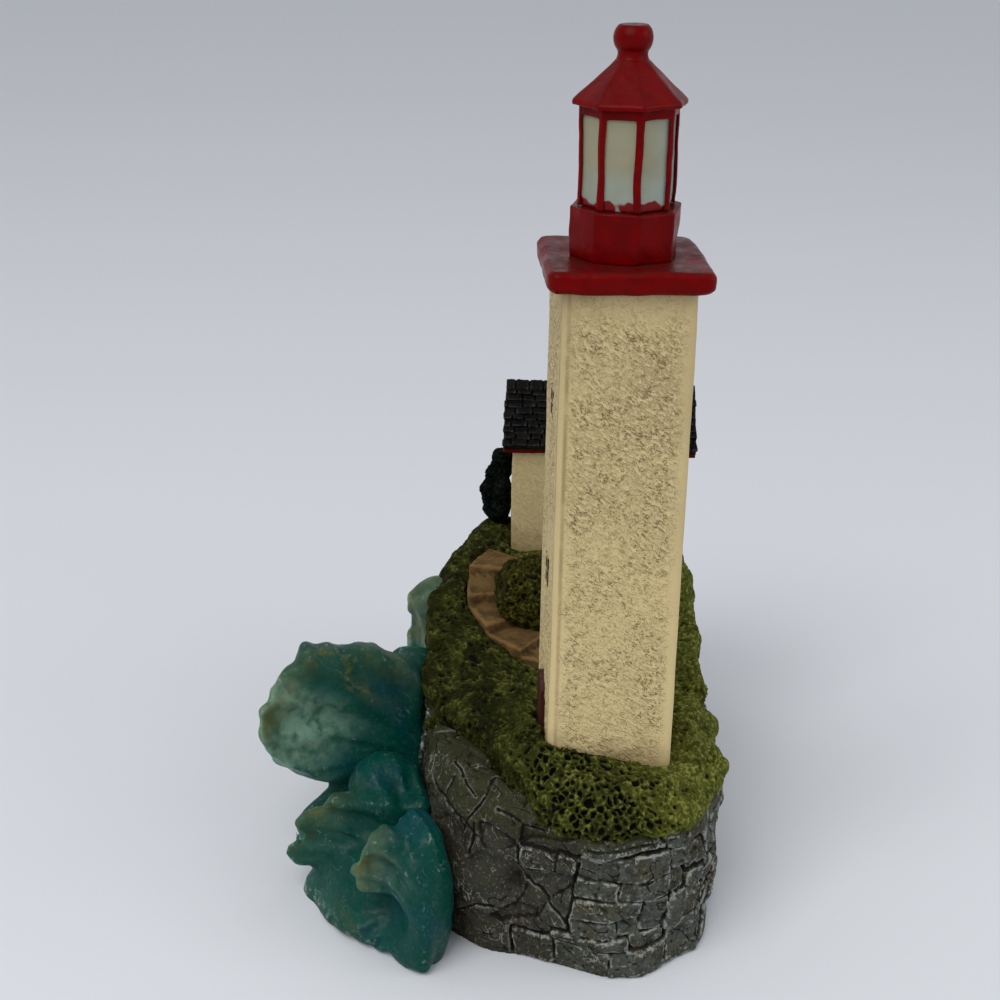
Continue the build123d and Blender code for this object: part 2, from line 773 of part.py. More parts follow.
shrub_x = tower_x - shrub_from_tower
shrub_y = cottage_y - cottage_length / 2 - shrub_radius - shrub_gap
shrub_low = ground_z(shrub_x) - turf_depth / 2
with BuildPart() as dark_shrub:
    add(leaf_clump(shrub_x, shrub_y, shrub_low, shrub_radius, shrub_height + turf_depth / 2, 3))
    with BuildSketch(cottage_plane):
        Rectangle(cottage_depth + 2 * shrub_gap, cottage_length + 2 * shrub_gap)
    extrude(amount=cottage_wall_height, mode=Mode.SUBTRACT)
    add(rock_base.part, mode=Mode.SUBTRACT)
    add(footpath.part, mode=Mode.SUBTRACT)
    add(land_turf.part, mode=Mode.SUBTRACT)
    add(bank_turf.part, mode=Mode.SUBTRACT)


sea_y = -cliff_width / 2


def swell(plan, height):
    """Low swell against the sea face, from pairs of a place along the cliff and a share of the reach."""
    rings = []
    for rise, share in ((0.0, 1.0), (0.5, 0.92), (1.0, 0.55)):
        corners = []
        for along, out in plan:
            reach = swell_reach * (out * share if out > 0 else out)
            corners.append(Vector(tower_x + along, sea_y - reach, rise * height))
        rings.append(corners)
    with BuildPart() as water:
        add(faceted(rings))
        with BuildSketch():
            with BuildLine():
                Polyline(*course_outline(0, -pad_margin / 2), close=True)
            make_face()
        extrude(amount=course_height, mode=Mode.SUBTRACT)
    return water.part


def crest(along, heading, reach, sections):
    """Curling crest: crescent sections along a heading, each a share of the reach, a low and a top level."""
    turn = math.radians(heading)
    outward = Vector(math.sin(turn), -math.cos(turn), 0)
    root = Vector(tower_x + along, sea_y, 0)
    rings = []
    for share, low, top in sections:
        half = (top - low) / 2
        thickness = crest_root + (crest_rim - crest_root) * max(share, 0.0)
        bow = crest_bow * half * max(share, 0.15)
        centre = root + outward * (reach * share) + Vector(0, 0, (low + top) / 2)
        section = Plane(origin=centre, x_dir=(0, 0, 1), z_dir=outward)
        ticks = [2 * tick / crest_facets - 1 for tick in range(crest_facets + 1)]
        inner = [(half * tick, thickness / 2 + bow * (1 - tick * tick)) for tick in ticks]
        outer = [(x, y - thickness) for x, y in reversed(inner)]
        rings.append([section.from_local_coords(Vector(x, y)) for x, y in inner + outer])
    return faceted(rings)


# Lower wave: it runs round the corner of the cliff on the table and throws up two crests
lower_plan = (
    (-wave_split, -0.6),
    (-wave_split, 1.08),
    (-6.0, 1.10),
    (2.0, 0.97),
    (8.0, 0.82),
    (13.3, 0.56),
    (18.0, 0.29),
    (21.4, 0.06),
    (20.6, -0.02),
    (15.0, -0.08),
    (10.0, -0.20),
    (4.0, -0.6),
)
lower_sections = (
    (-0.2, 1.0, 19.0),
    (0.45, 3.5, 19.5),
    (0.75, 5.0, 19.0),
    (0.92, 6.0, 16.0),
    (1.0, 8.0, 13.0),
)
front_sections = ((-0.1, 1.0, 23.0), (0.5, 5.0, 24.0), (0.8, 9.5, 22.0), (1.0, 14.0, 19.0))
with BuildPart() as lower_water:
    add(swell(lower_plan, lower_swell_height))
    add(crest(-4.0, 3.0, lower_crest_reach, lower_sections))
    add(crest(10.0, 20.0, front_crest_reach, front_sections))
    add(rock_base.part, mode=Mode.SUBTRACT)
    add(tower_turf.part, mode=Mode.SUBTRACT)
    add(bank_turf.part, mode=Mode.SUBTRACT)

with BuildPart() as lower_wave:
    add(lower_water.part.solids().sort_by(SortBy.VOLUME)[-1])

# Upper wave: the tallest crest, thrown out from the middle of the sea face
upper_plan = (
    (-rear_split, -0.6),
    (-rear_split, 0.75),
    (-30.0, 0.95),
    (-22.0, 1.06),
    (-wave_split, 1.08),
    (-wave_split, -0.6),
)
upper_sections = (
    (-0.1, 6.0, 27.0),
    (0.12, 9.0, 35.0),
    (0.35, 13.0, 38.0),
    (0.66, 17.0, 41.0),
    (0.88, 20.5, 37.0),
    (1.0, 25.0, 32.5),
)
with BuildPart() as upper_water:
    add(swell(upper_plan, upper_swell_height))
    add(crest(-22.0, 20.0, upper_crest_reach, upper_sections))
    add(rock_base.part, mode=Mode.SUBTRACT)
    add(bank_turf.part, mode=Mode.SUBTRACT)
    add(tower_turf.part, mode=Mode.SUBTRACT)
    add(lower_wave.part, mode=Mode.SUBTRACT)

with BuildPart() as upper_wave:
    add(upper_water.part.solids().sort_by(SortBy.VOLUME)[-1])

# Rear wave: a narrow crest against the bank behind the upper one
rear_plan = (
    (-rear_split, -0.6),
    (-62.0, -0.6),
    (-60.0, 0.10),
    (-54.0, 0.42),
    (-46.0, 0.62),
    (-rear_split, 0.75),
)
rear_sections = ((-0.5, 4.0, 30.0), (0.1, 8.0, 36.0), (0.55, 15.0, 37.5), (1.0, 22.0, 33.0))
with BuildPart() as rear_water:
    add(swell(rear_plan, rear_swell_height))
    add(crest(-46.0, 12.0, rear_crest_reach, rear_sections))
    add(rock_base.part, mode=Mode.SUBTRACT)
    add(bank_turf.part, mode=Mode.SUBTRACT)
    add(upper_wave.part, mode=Mode.SUBTRACT)

with BuildPart() as rear_wave:
    add(rear_water.part.solids().sort_by(SortBy.VOLUME)[-1])

os.makedirs("parts", exist_ok=True)
pieces = {
    "rock_base": rock_base,
    "base_pad": base_pad,
    "tower_shaft": tower_shaft,
    "tower_door": tower_door,
    "doorstep": doorstep,
    "tower_windows": tower_windows,
    "gallery_deck": gallery_deck,
    "lantern_pedestal": lantern_pedestal,
    "lantern_core": lantern_core,
    "lantern_frame": lantern_frame,
    "lantern_roof": lantern_roof,
    "roof_finial": roof_finial,
    "cottage_walls": cottage_walls,
    "cottage_door": cottage_door,
    "cottage_windows": cottage_windows,
    "cottage_roof": cottage_roof,
    "ridge_cap": ridge_cap,
    "eaves_trim": eaves_trim,
    "footpath": footpath,
    "tower_turf": tower_turf,
    "bank_turf": bank_turf,
    "land_turf": land_turf,
    "garden_bush": garden_bush,
    "dark_shrub": dark_shrub,
    "lower_wave": lower_wave,
    "upper_wave": upper_wave,
    "rear_wave": rear_wave,
}
for name, piece in pieces.items():
    piece.part.label = name
    export_step(piece.part, f"parts/{name}.step")
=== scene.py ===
"""Lighthouse sculpture: the relief, paint and clear resin over the cast pieces of the ornament.

Relief is worked out in millimetres, in the frame of the cast pieces, and written to the meshes in metres.
"""

import math
import typing

import bmesh
import bpy
import numpy as np
from mathutils import Matrix, Vector
from mathutils.bvhtree import BVHTree


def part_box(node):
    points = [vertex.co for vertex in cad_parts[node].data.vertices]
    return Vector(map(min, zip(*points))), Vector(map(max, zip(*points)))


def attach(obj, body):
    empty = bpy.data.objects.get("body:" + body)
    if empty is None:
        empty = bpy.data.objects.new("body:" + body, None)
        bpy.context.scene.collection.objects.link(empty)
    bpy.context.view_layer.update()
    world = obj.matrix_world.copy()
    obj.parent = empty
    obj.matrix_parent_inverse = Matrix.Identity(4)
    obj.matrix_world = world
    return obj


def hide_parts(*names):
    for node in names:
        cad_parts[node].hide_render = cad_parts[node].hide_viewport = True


bl_info = {
    "name": "Lighthouse sculpture finish",
    "version": (1, 0, 0),
    "blender": (4, 5, 0),
    "location": "3D View > Sidebar > Lighthouse",
    "description": "Gives the cast lighthouse ornament its stone, moss, plaster, paint and resin",
    "category": "Object",
}

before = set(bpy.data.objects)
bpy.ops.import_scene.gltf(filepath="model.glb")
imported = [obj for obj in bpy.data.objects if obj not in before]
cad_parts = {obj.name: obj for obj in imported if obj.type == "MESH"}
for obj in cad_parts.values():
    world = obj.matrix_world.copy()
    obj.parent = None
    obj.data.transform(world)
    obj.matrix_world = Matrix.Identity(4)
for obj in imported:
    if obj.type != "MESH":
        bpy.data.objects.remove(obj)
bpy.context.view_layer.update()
MM = 0.001
most_triangles = 195_000
cottage_turn = math.radians(-6)


def tone(red, green, blue):
    """Linear colour of an sRGB one given from 0 to 255."""
    shares = [channel / 255 for channel in (red, green, blue)]
    return tuple(s / 12.92 if s <= 0.04045 else ((s + 0.055) / 1.055) ** 2.4 for s in shares)


# Settings that a user would change


def length(name, millimetres, description):
    """Setting for a length."""
    return bpy.props.FloatProperty(
        name=name, description=description, default=millimetres * MM, min=0.0, unit="LENGTH", precision=5
    )


def colour(name, red, green, blue, description):
    """Setting for a paint colour, given in sRGB."""
    return bpy.props.FloatVectorProperty(
        name=name,
        description=description,
        default=tone(red, green, blue),
        size=3,
        min=0,
        max=1,
        subtype="COLOR",
    )


def power(name, watts, description):
    """Setting for the power of a lamp."""
    return bpy.props.FloatProperty(name=name, description=description, default=watts, min=0.0, unit="POWER")


class LighthouseRelief(bpy.types.PropertyGroup):
    """Sizes of the relief that each casting carries."""

    stone_grain: length("Stone mesh", 0.36, "Spacing of the points on the cliff")
    stone_offset: length("Block offset", 1.5, "How far blocks stand in and out of the cliff face")
    stone_gap: length("Joint depth", 1.2, "Depth of the joints between blocks")
    stone_round: length("Block rounding", 0.5, "Width of the worn edge of a block")
    moss_grain: length("Moss mesh", 0.23, "Spacing of the points on the turf")
    moss_pit: length("Moss pit", 1.2, "Spacing of the pits in the turf on the sea side")
    moss_fine_pit: length("Fine moss pit", 0.95, "Spacing of the pits in the turf on the land side")
    moss_depth: length("Moss depth", 1.0, "Depth of the pits in the turf")
    plaster_grain: length("Plaster mesh", 0.25, "Spacing of the points on the plaster")
    plaster_stroke: length("Plaster stroke", 0.95, "Length of the larger trowel strokes")
    plaster_depth: length("Plaster depth", 0.11, "Depth of the larger trowel strokes")
    paint_wobble: length("Casting wobble", 0.16, "How far the small painted castings stray from true")
    wave_grain: length("Wave mesh", 0.36, "Spacing of the points on the waves")
    wave_ripple: length("Wave ripple", 0.62, "Height of the folds that fan out on a crest")
    shingle_lift: length("Shingle lift", 0.16, "How unevenly the shingles lie")


class LighthousePaint(bpy.types.PropertyGroup):
    """Colours of the paints and resins."""

    stone: colour("Stone", 70, 73, 66, "Body colour of the cliff")
    stone_warm: colour("Stone wash", 64, 58, 40, "Brown wash on the cliff")
    stone_edge: colour("Dry brushing", 164, 165, 157, "Pale paint dragged over the edges of the stone")
    moss: colour("Moss", 72, 76, 26, "Body colour of the turf")
    moss_tip: colour("Moss tips", 118, 120, 58, "Tips of the turf")
    # Near-black painted shade in the pits of the turf and the bush
    moss_pit: colour("Moss pits", 6, 8, 3, "Pits of the turf")
    leaf: colour("Bush", 60, 58, 14, "Body colour of the bush")
    leaf_tip: colour("Bush tips", 92, 90, 38, "Tips of the bush")
    dark_leaf: colour("Dark shrub", 10, 17, 12, "Body colour of the upright shrub")
    dark_leaf_tip: colour("Dark shrub tips", 30, 42, 32, "Tips of the upright shrub")
    # Near-black painted shade in the pits of the upright shrub
    dark_pit_shade: colour("Dark shrub pits", 1, 2, 1, "Pits of the upright shrub")
    earth: colour("Earth", 104, 80, 46, "Path and doorstep")
    plaster: colour("Plaster", 187, 168, 123, "Walls of tower and cottage")
    # Brown of the grit, specks and stained foot of the plaster, also its painted shade in the hollows and
    # painted shadow under the flakes
    plaster_wash_and_shade: colour("Plaster wash", 104, 82, 46, "Brown wash in the hollows of the plaster")
    enamel: colour("Red paint", 104, 0, 1, "Deck, lantern and trim")
    # Dust and painted sheen on the red paint that faces up
    dust_and_sheen: colour("Dust", 66, 20, 17, "Dull bloom on the red paint that faces up")
    pane: colour("Lantern panes", 140, 136, 112, "Panes of the lantern")
    pane_foot: colour("Pane feet", 136, 150, 146, "Bluish foot of the panes")
    pane_dirt: colour("Pane dirt", 126, 112, 86, "Brown of the panes on the sea side")
    slate: colour("Shingles", 11, 10, 9, "Roof of the cottage")
    slate_edge: colour("Shingle edges", 66, 61, 59, "Worn edges of the shingles")
    timber: colour("Doors", 70, 36, 22, "Doors of tower and cottage")
    glass: colour("Windows", 20, 22, 24, "Dark panes of the windows")
    felt: colour("Felt", 40, 62, 46, "Pad under the cliff")
    sea: colour("Sea resin", 0, 74, 63, "Thick clear resin of the waves")
    sea_blue: colour("Deep sea resin", 0, 72, 75, "Bluer swirls in the thick resin")
    sea_mid: colour("Middling sea resin", 20, 86, 71, "Clear resin of middling thickness")
    sea_thin: colour("Thin sea resin", 128, 162, 142, "Thin clear resin near the crests")
    sea_rim: colour("Resin rims", 60, 82, 54, "Olive rims of the crests")
    foam: colour("Crest veins", 112, 112, 62, "Yellowed lips and veins of the crests")
    # Also used for pale spots that are bubbles and painted glints
    scuff: colour("Resin scuffs", 170, 190, 178, "Pale scuffs, scratches and bubbles in the resin")


class LighthouseStage(bpy.types.PropertyGroup):
    """Camera, light and floor."""

    camera_place: bpy.props.FloatVectorProperty(
        name="Camera place",
        description="Where the camera stands",
        default=(0.258497, -0.031184, 0.169817),
        size=3,
        subtype="TRANSLATION",
        unit="LENGTH",
    )
    camera_turn: bpy.props.FloatVectorProperty(
        name="Camera turn",
        description="How the camera is turned",
        default=(math.radians(67.72), math.radians(-0.904), math.radians(86.65)),
        size=3,
        subtype="EULER",
        unit="ROTATION",
    )
    camera_lens: bpy.props.FloatProperty(
        name="Lens", description="Focal length in millimetres", default=58.325, min=1.0, unit="CAMERA"
    )
    floor_size: length("Floor size", 4000.0, "Side of the pale floor")
    floor: colour("Floor", 214, 216, 220, "Pale floor")
    key_power: power("Key light", 4.2, "Power of the main soft light")
    fill_power: power("Fill light", 1.2, "Power of the light from the other side")
    sky: bpy.props.FloatProperty(
        name="Room light", description="Strength of the light from all round", default=0.62, min=0.0
    )


# Scattered numbers and noise


def scatter(cell, seed):
    """Even random numbers from 0 to 1, one for each row of three whole numbers."""
    x, y, z = (cell[:, axis].astype(np.int64).astype(np.uint32) for axis in range(3))
    mixed = x * np.uint32(73856093) ^ y * np.uint32(19349663) ^ z * np.uint32(83492791)
    mixed = mixed ^ np.uint32(seed * 2654435761 % 2**32)
    mixed = (mixed ^ (mixed >> np.uint32(15))) * np.uint32(2246822519)
    mixed = (mixed ^ (mixed >> np.uint32(13))) * np.uint32(3266489917)
    return (mixed ^ (mixed >> np.uint32(16))) / 2.0**32


def lumps(points, size, seed=0):
    """Smooth noise from -1 to 1, in lumps of a size that may differ along the axes."""
    grid = points / size
    base = np.floor(grid)
    share = grid - base
    share = share * share * (3 - 2 * share)
    total = np.zeros(len(points))
    for corner in np.ndindex(2, 2, 2):
        weight = np.prod(np.where(np.array(corner) == 1, share, 1 - share), axis=1)
        total += weight * scatter(base + corner, seed)
    return 2 * total - 1


def roughness(points, size, seed=0, octaves=3):
    """Noise from about -1 to 1 with finer lumps on larger ones."""
    layers = [lumps(points, size / 2**octave, seed + octave) / 2**octave for octave in range(octaves)]
    return sum(layers) / (2 - 2 ** (1 - octaves))


def clusters(points, size, seed=0):
    """Distances in cells to the two nearest of many spots, the nearest one's number and the way from it."""
    grid = points / size
    base = np.floor(grid)
    first = np.full(len(points), 9.0)
    second = first.copy()
    owner = np.zeros(len(points))
    way = np.zeros((len(points), 3))
    for step in np.ndindex(3, 3, 3):
        cell = base + step - 1
        spot = cell + np.stack([scatter(cell, seed + axis) for axis in range(3)], axis=1)
        gap = np.linalg.norm(grid - spot, axis=1)
        nearer = gap < first
        second = np.where(nearer, first, np.minimum(second, gap))
        owner = np.where(nearer, scatter(cell, seed + 3), owner)
        way = np.where(nearer[:, None], grid - spot, way)
        first = np.minimum(first, gap)
    return first, second, owner, way


def facets(points, size, seed, lean=0.6):
    """Broken faces: a step and a lean for each scattered cell, and the distance in cells to a break."""
    first, second, owner, way = clusters(points, size, seed)
    number = flat(np.floor(owner * 4096))
    tilt = np.stack([scatter(number, seed + 20 + axis) - 0.5 for axis in range(3)], axis=1)
    return owner - 0.5 + lean * np.sum(tilt * way, axis=1), second - first


def ease(low, high, values):
    """Smooth step from 0 at low to 1 at high."""
    share = np.clip((values - low) / (high - low), 0, 1)
    return share * share * (3 - 2 * share)


def to_paths(points, paths):
    """Distance of each point to the nearest of many broken lines."""
    nearest = np.full(len(points), 99.0)
    for path in paths:
        for start, end in zip(np.array(path), np.array(path)[1:]):
            way = end - start
            share = np.clip((points - start) @ way / (way @ way), 0, 1)
            nearest = np.minimum(nearest, np.linalg.norm(points - start - share[:, None] * way, axis=1))
    return nearest


def rounded(side, bed, bevel):
    """Distance to the edge of a block with rounded corners, from the distances to its ends and beds."""
    corner = np.hypot(np.maximum(bevel - side, 0), np.maximum(bevel - bed, 0))
    return bevel - corner + np.maximum(np.minimum(side, bed) - bevel, 0)


def flat(*columns):
    """Rows of three numbers from one to three columns, the missing ones zero."""
    rows = np.zeros((len(columns[0]), 3))
    for axis, column in enumerate(columns):
        rows[:, axis] = column
    return rows


# Dense meshes over the cast pieces


def worked(mesh, kind, **values):
    """Copy of a mesh after one modifier."""
    body = bpy.data.objects.new("mould", mesh)
    bpy.context.scene.collection.objects.link(body)
    modifier = body.modifiers.new("work", kind)
    for name, value in values.items():
        setattr(modifier, name, value)
    graph = bpy.context.evaluated_depsgraph_get()
    copy = bpy.data.meshes.new_from_object(body.evaluated_get(graph))
    bpy.data.objects.remove(body)
    if not copy.vertices:
        raise RuntimeError("the worked mesh came out empty")
    return copy


def cast(sources, voxel):
    """Dense closed mesh over one or more meshes, joined into one skin."""
    corners = []
    faces = []
    for source in sources:
        faces += [[corner + len(corners) for corner in face.vertices] for face in source.polygons]
        corners += [vertex.co.copy() for vertex in source.vertices]
    mould = bpy.data.meshes.new("mould")
    mould.from_pydata(corners, [], faces)
    dense = worked(mould, "REMESH", mode="VOXEL", voxel_size=voxel)
    bpy.data.meshes.remove(mould)
    return dense


def nodes_of(*names):
    """Meshes of cast pieces by name."""
    return [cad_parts[name].data for name in names]


class Skin:
    """Points of a dense mesh in millimetres, pushed about to give a piece its relief."""

    def __init__(self, mesh):
        self.mesh = mesh
        count = len(mesh.vertices)
        spots = np.zeros(count * 3)
        mesh.vertices.foreach_get("co", spots)
        self.points = spots.reshape(-1, 3) / MM
        ends = np.zeros(len(mesh.edges) * 2, dtype=np.int32)
        mesh.edges.foreach_get("vertices", ends)
        self.ends = ends.reshape(-1, 2)
        self.count = count
        links = np.bincount(self.ends.ravel(), minlength=count)
        self.links = np.maximum(links, 1)

    def mean(self, values):
        """Mean of the neighbours' values at each point."""
        one, two = self.ends.T
        if values.ndim > 1:
            return np.stack([self.mean(column) for column in values.T], axis=1)
        total = np.bincount(one, values[two], self.count) + np.bincount(two, values[one], self.count)
        return total / self.links

    def smooth(self, rounds, share=0.5):
        """Draws each point towards its neighbours."""
        for _ in range(rounds):
            self.points += share * (self.mean(self.points) - self.points)
        return self

    def write(self):
        """Writes the points to the mesh."""
        self.mesh.vertices.foreach_set("co", (self.points * MM).ravel())
        self.mesh.update()

    def normals(self):
        """Outward directions at the points."""
        self.write()
        spots = np.zeros(self.count * 3)
        self.mesh.vertices.foreach_get("normal", spots)
        return spots.reshape(-1, 3)

    def push(self, depth, normals=None):
        """Moves the points outwards by a depth."""
        if normals is None:
            normals = self.normals()
        self.points += normals * np.asarray(depth)[:, None]

    def bend(self, rounds=1):
        """How hollow, or with a minus sign how sharp, the surface is at each point, about -1 to 1."""
        normals = self.normals()
        one, two = self.ends.T
        spacing = np.linalg.norm(self.points[one] - self.points[two], axis=1).mean()
        hollow = np.sum((self.mean(self.points) - self.points) * normals, axis=1) / spacing
        for _ in range(rounds):
            hollow = 0.5 * hollow + 0.5 * self.mean(hollow)
        return np.clip(hollow * 4, -1, 1)

    def keep(self, name, values):
        """Stores one number for each point, for the paint to read."""
        kept = self.mesh.attributes.new(name, "FLOAT", "POINT")
        kept.data.foreach_set("value", np.asarray(values, dtype=np.float32))

    def keep_bend(self, rounds=1):
        """Stores where the surface is worn and where it is hollow."""
        bend = self.bend(rounds)
        self.keep("worn", np.clip(-bend, 0, 1))
        self.keep("hollow", np.clip(bend, 0, 1))

    def fresh(self, voxel):
        """The same skin with evenly spread points."""
        self.write()
        dense = cast([self.mesh], voxel)
        bpy.data.meshes.remove(self.mesh)
        return Skin(dense)

    def piece(self, name, slot, replaced, *finishes):
        """Turns the skin into a piece that stands for cast pieces, thinned if it has too many triangles."""
        self.write()
        self.mesh.calc_loop_triangles()
        share = most_triangles / len(self.mesh.loop_triangles)
        if share < 1:
            self.mesh = worked(self.mesh, "DECIMATE", ratio=share, use_collapse_triangulate=True)
        return show_piece(name, self.mesh, slot, replaced, *finishes)


def show_piece(name, mesh, slot, replaced, *finishes):
    """Piece of the ornament from a mesh, with its finishes, in the place of cast pieces."""
    mesh.name = name
    mesh.shade_smooth()
    mesh.materials.clear()
    for finish in finishes:
        mesh.materials.append(finish)
    body = bpy.data.objects.new(name, mesh)
    bpy.context.scene.collection.objects.link(body)
    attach(body, "root")
    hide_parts(*replaced)
    return body


def slabs(name, centres, halves):
    """Mesh of many slabs, from their middles and three half sides each, in millimetres."""
    signs = np.array([(a, b, c) for a in (-1, 1) for b in (-1, 1) for c in (-1, 1)])
    sides = ((0, 1, 3, 2), (4, 6, 7, 5), (0, 4, 5, 1), (2, 3, 7, 6), (0, 2, 6, 4), (1, 5, 7, 3))
    points = centres[:, None, :] + np.einsum("sk,nkx->nsx", signs, halves)
    faces = [[8 * slab + corner for corner in side] for slab in range(len(centres)) for side in sides]
    mesh = bpy.data.meshes.new(name)
    mesh.from_pydata((points.reshape(-1, 3) * MM).tolist(), [], faces)
    return mesh


def islands(mesh):
    """Points of each separate body in a mesh."""
    owner = np.arange(len(mesh.vertices))
    ends = np.array([edge.vertices[:] for edge in mesh.edges])
    while True:
        least = owner.copy()
        np.minimum.at(least, ends[:, 0], owner[ends[:, 1]])
        np.minimum.at(least, ends[:, 1], owner[ends[:, 0]])
        if (least == owner).all():
            return [np.flatnonzero(owner == mark) for mark in np.unique(owner)]
        owner = least


def box_of(name):
    """Low and high corner of a cast piece in millimetres."""
    return [np.array(corner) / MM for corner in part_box(name)]


def cottage_axes():
    """Directions across and along the cottage, and the middle of its plan in millimetres."""
    low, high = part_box("cottage_walls")
    across = np.array([math.cos(cottage_turn), math.sin(cottage_turn), 0.0])
    along = np.array([-math.sin(cottage_turn), math.cos(cottage_turn), 0.0])
    return across, along, np.array([(low.x + high.x) / 2, (low.y + high.y) / 2, 0.0]) / MM


# Paint and resin


class Finish:
    """Node material put together step by step: a body colour, then coats of other colours over it."""

    def __init__(self, name):
        self.material = bpy.data.materials.new(name)
        self.material.use_nodes = True
        self.nodes = self.material.node_tree.nodes
        self.links = self.material.node_tree.links
        self.shader = self.nodes["Principled BSDF"]
        self.place = self.nodes.new("ShaderNodeTexCoord").outputs["Object"]
        self.body = None

    def feed(self, socket, value):
        """Links a socket to an output, or sets its value."""
        if isinstance(value, bpy.types.NodeSocket):
            self.links.new(value, socket)
        elif socket.type == "RGBA" and len(value) == 3:
            socket.default_value = (*value, 1.0)
        else:
            socket.default_value = value

    def node(self, kind, output, inputs, **settings):
        """Output of a new node with its settings and inputs."""
        node = self.nodes.new(f"ShaderNode{kind}")
        for name, value in settings.items():
            setattr(node, name, value)
        for name, value in inputs.items():
            self.feed(node.inputs[name], value)
        return node.outputs[output]

    def kept(self, name):
        """Number stored at the points of the piece."""
        return self.node("Attribute", "Fac", {}, attribute_name=name)

    def drawn(self, stretch, turn=(0.0, 0.0, 0.0)):
        """Place drawn out along axes turned by degrees."""
        angles = [math.radians(angle) for angle in turn]
        inputs = {"Vector": self.place, "Rotation": angles, "Scale": stretch}
        return self.node("Mapping", "Vector", inputs, vector_type="TEXTURE")

    def noise(self, size, detail=3.0, place=None):
        """Cloudy noise from 0 to 1 with lumps of a size in millimetres."""
        inputs = {"Vector": place or self.place, "Scale": 1 / (size * MM), "Detail": detail}
        return self.node("TexNoise", "Fac", inputs)

    def hairs(self, size, width, place):
        """Thin winding lines, 1 on a line, where a noise with lumps of a size crosses its middle."""
        off = self.math("ABSOLUTE", self.math("SUBTRACT", self.noise(size, 2.0, place), 0.5))
        return self.span(off, width, 0.3 * width)

    def spots(self, size):
        """Distance to scattered spots of a size in millimetres."""
        return self.node("TexVoronoi", "Distance", {"Vector": self.place, "Scale": 1 / (size * MM)})

    def along(self, axis):
        """Place along one axis, in metres."""
        return self.node("SeparateXYZ", axis, {"Vector": self.place})

    def math(self, operation, first, second=0.0):
        """Sum, difference or other arithmetic of two numbers."""
        return self.node("Math", 0, {0: first, 1: second}, operation=operation)

    def times(self, product, *factors):
        """Product of two or more numbers."""
        for factor in factors:
            product = self.math("MULTIPLY", product, factor)
        return product

    def span(self, value, low, high, to_low=0.0, to_high=1.0):
        """Number spread from one span to another and held within it."""
        inputs = dict(enumerate((value, low, high, to_low, to_high)))
        return self.node("MapRange", 0, inputs, interpolation_type="SMOOTHSTEP")

    def cloud(self, size, detail, low, high, to_low=0.0, to_high=1.0):
        """Cloudy noise with lumps of a size, spread from one span to another."""
        return self.span(self.noise(size, detail), low, high, to_low, to_high)

    def mix(self, share, first, second):
        """Blend of two colours."""
        return self.node("Mix", 2, {0: share, 6: first, 7: second}, data_type="RGBA")

    def coat(self, share, paint):
        """Lays a share of another colour over the body colour."""
        self.body = self.mix(share, self.body, paint)

    def bump(self, height, depth, under=None):
        """Fine relief too small for the mesh, of a depth in millimetres."""
        inputs = {"Distance": depth * MM, "Height": height}
        if under is not None:
            inputs["Normal"] = under
        return self.node("Bump", "Normal", inputs)

    def surface(self, **inputs):
        """Sets the shader and returns the material."""
        for name, value in inputs.items():
            self.feed(self.shader.inputs[name.replace("_", " ")], value)
        if self.body is not None:
            self.feed(self.shader.inputs["Base Color"], self.body)
        return self.material


def darker(paint, share):
    """Colour at a share of its strength."""
    return tuple(channel * share for channel in paint)


def stone_finish(paint):
    """Dark grey stone with a brown wash, black joints, pale scratches, pale paint on its edges and painted
    shade in its hollows.
    """
    f = Finish("stone")
    laid = f.kept("laid")
    sea_side = f.span(f.along("Y"), -0.001, -0.010)
    f.body = f.mix(f.cloud(8.0, 4.0, 0.42, 0.64), paint.stone, paint.stone_warm)
    f.coat(f.times(sea_side, 0.75), darker(paint.stone_warm, 0.62))
    f.coat(f.cloud(1.8, 5.0, 0.42, 0.68, 0.0, 0.8), darker(paint.stone, 0.35))
    f.coat(f.cloud(0.5, 3.0, 0.54, 0.74, 0.0, 0.25), paint.stone_edge)
    stain = f.math("ADD", f.along("Z"), f.times(f.noise(5.0, 4.0), 0.012))
    f.coat(f.span(stain, 0.0275, 0.034, 0.0, 0.6), darker(paint.moss, 0.35))
    jitter = f.times(f.math("SUBTRACT", f.noise(0.8, 4.0), 0.5), 0.3)
    rim = f.math("ADD", f.kept("rim"), jitter)
    band = f.times(f.span(rim, 0.14, 0.24), f.span(rim, 0.52, 0.34))
    edge = f.times(band, f.cloud(2.4, 4.0, 0.45, 0.56), f.span(laid, 0.0, 1.0, 0.45, 1.0))
    worn = f.times(f.span(f.kept("worn"), 0.2, 0.6), f.cloud(0.8, 4.0, 0.48, 0.62))
    worn = f.times(worn, f.span(laid, 0.0, 1.0, 0.15, 0.9))
    f.coat(f.times(f.math("MAXIMUM", edge, worn), 0.62), paint.stone_edge)
    slant = f.hairs(2.6, 0.010, f.drawn((1.0, 1.0, 5.0), (38, 12, 10)))
    cross = f.hairs(2.8, 0.010, f.drawn((1.0, 1.0, 5.0), (-44, -10, 60)))
    scratch = f.times(f.math("MAXIMUM", slant, cross), f.cloud(4.0, 3.0, 0.53, 0.60))
    f.coat(f.times(scratch, 0.45), paint.stone_edge)
    split = f.hairs(6.0, 0.010, f.drawn((1.0, 1.0, 2.6), (40, 10, 0)))
    split = f.times(split, f.cloud(7.0, 2.0, 0.50, 0.57))
    f.coat(f.times(split, 0.9), darker(paint.stone_warm, 0.08))
    f.coat(f.span(rim, 0.20, 0.02, 0.0, 0.96), darker(paint.stone_warm, 0.07))
    # Painted shade: the hollows darkened to near black.
    f.coat(f.span(f.kept("hollow"), 0.10, 0.6, 0.0, 0.85), darker(paint.stone_warm, 0.12))
    grain = f.bump(f.math("SUBTRACT", f.noise(0.4, 5.0), split), 0.15)
    return f.surface(Roughness=0.7, Normal=grain, Specular_IOR_Level=0.12)


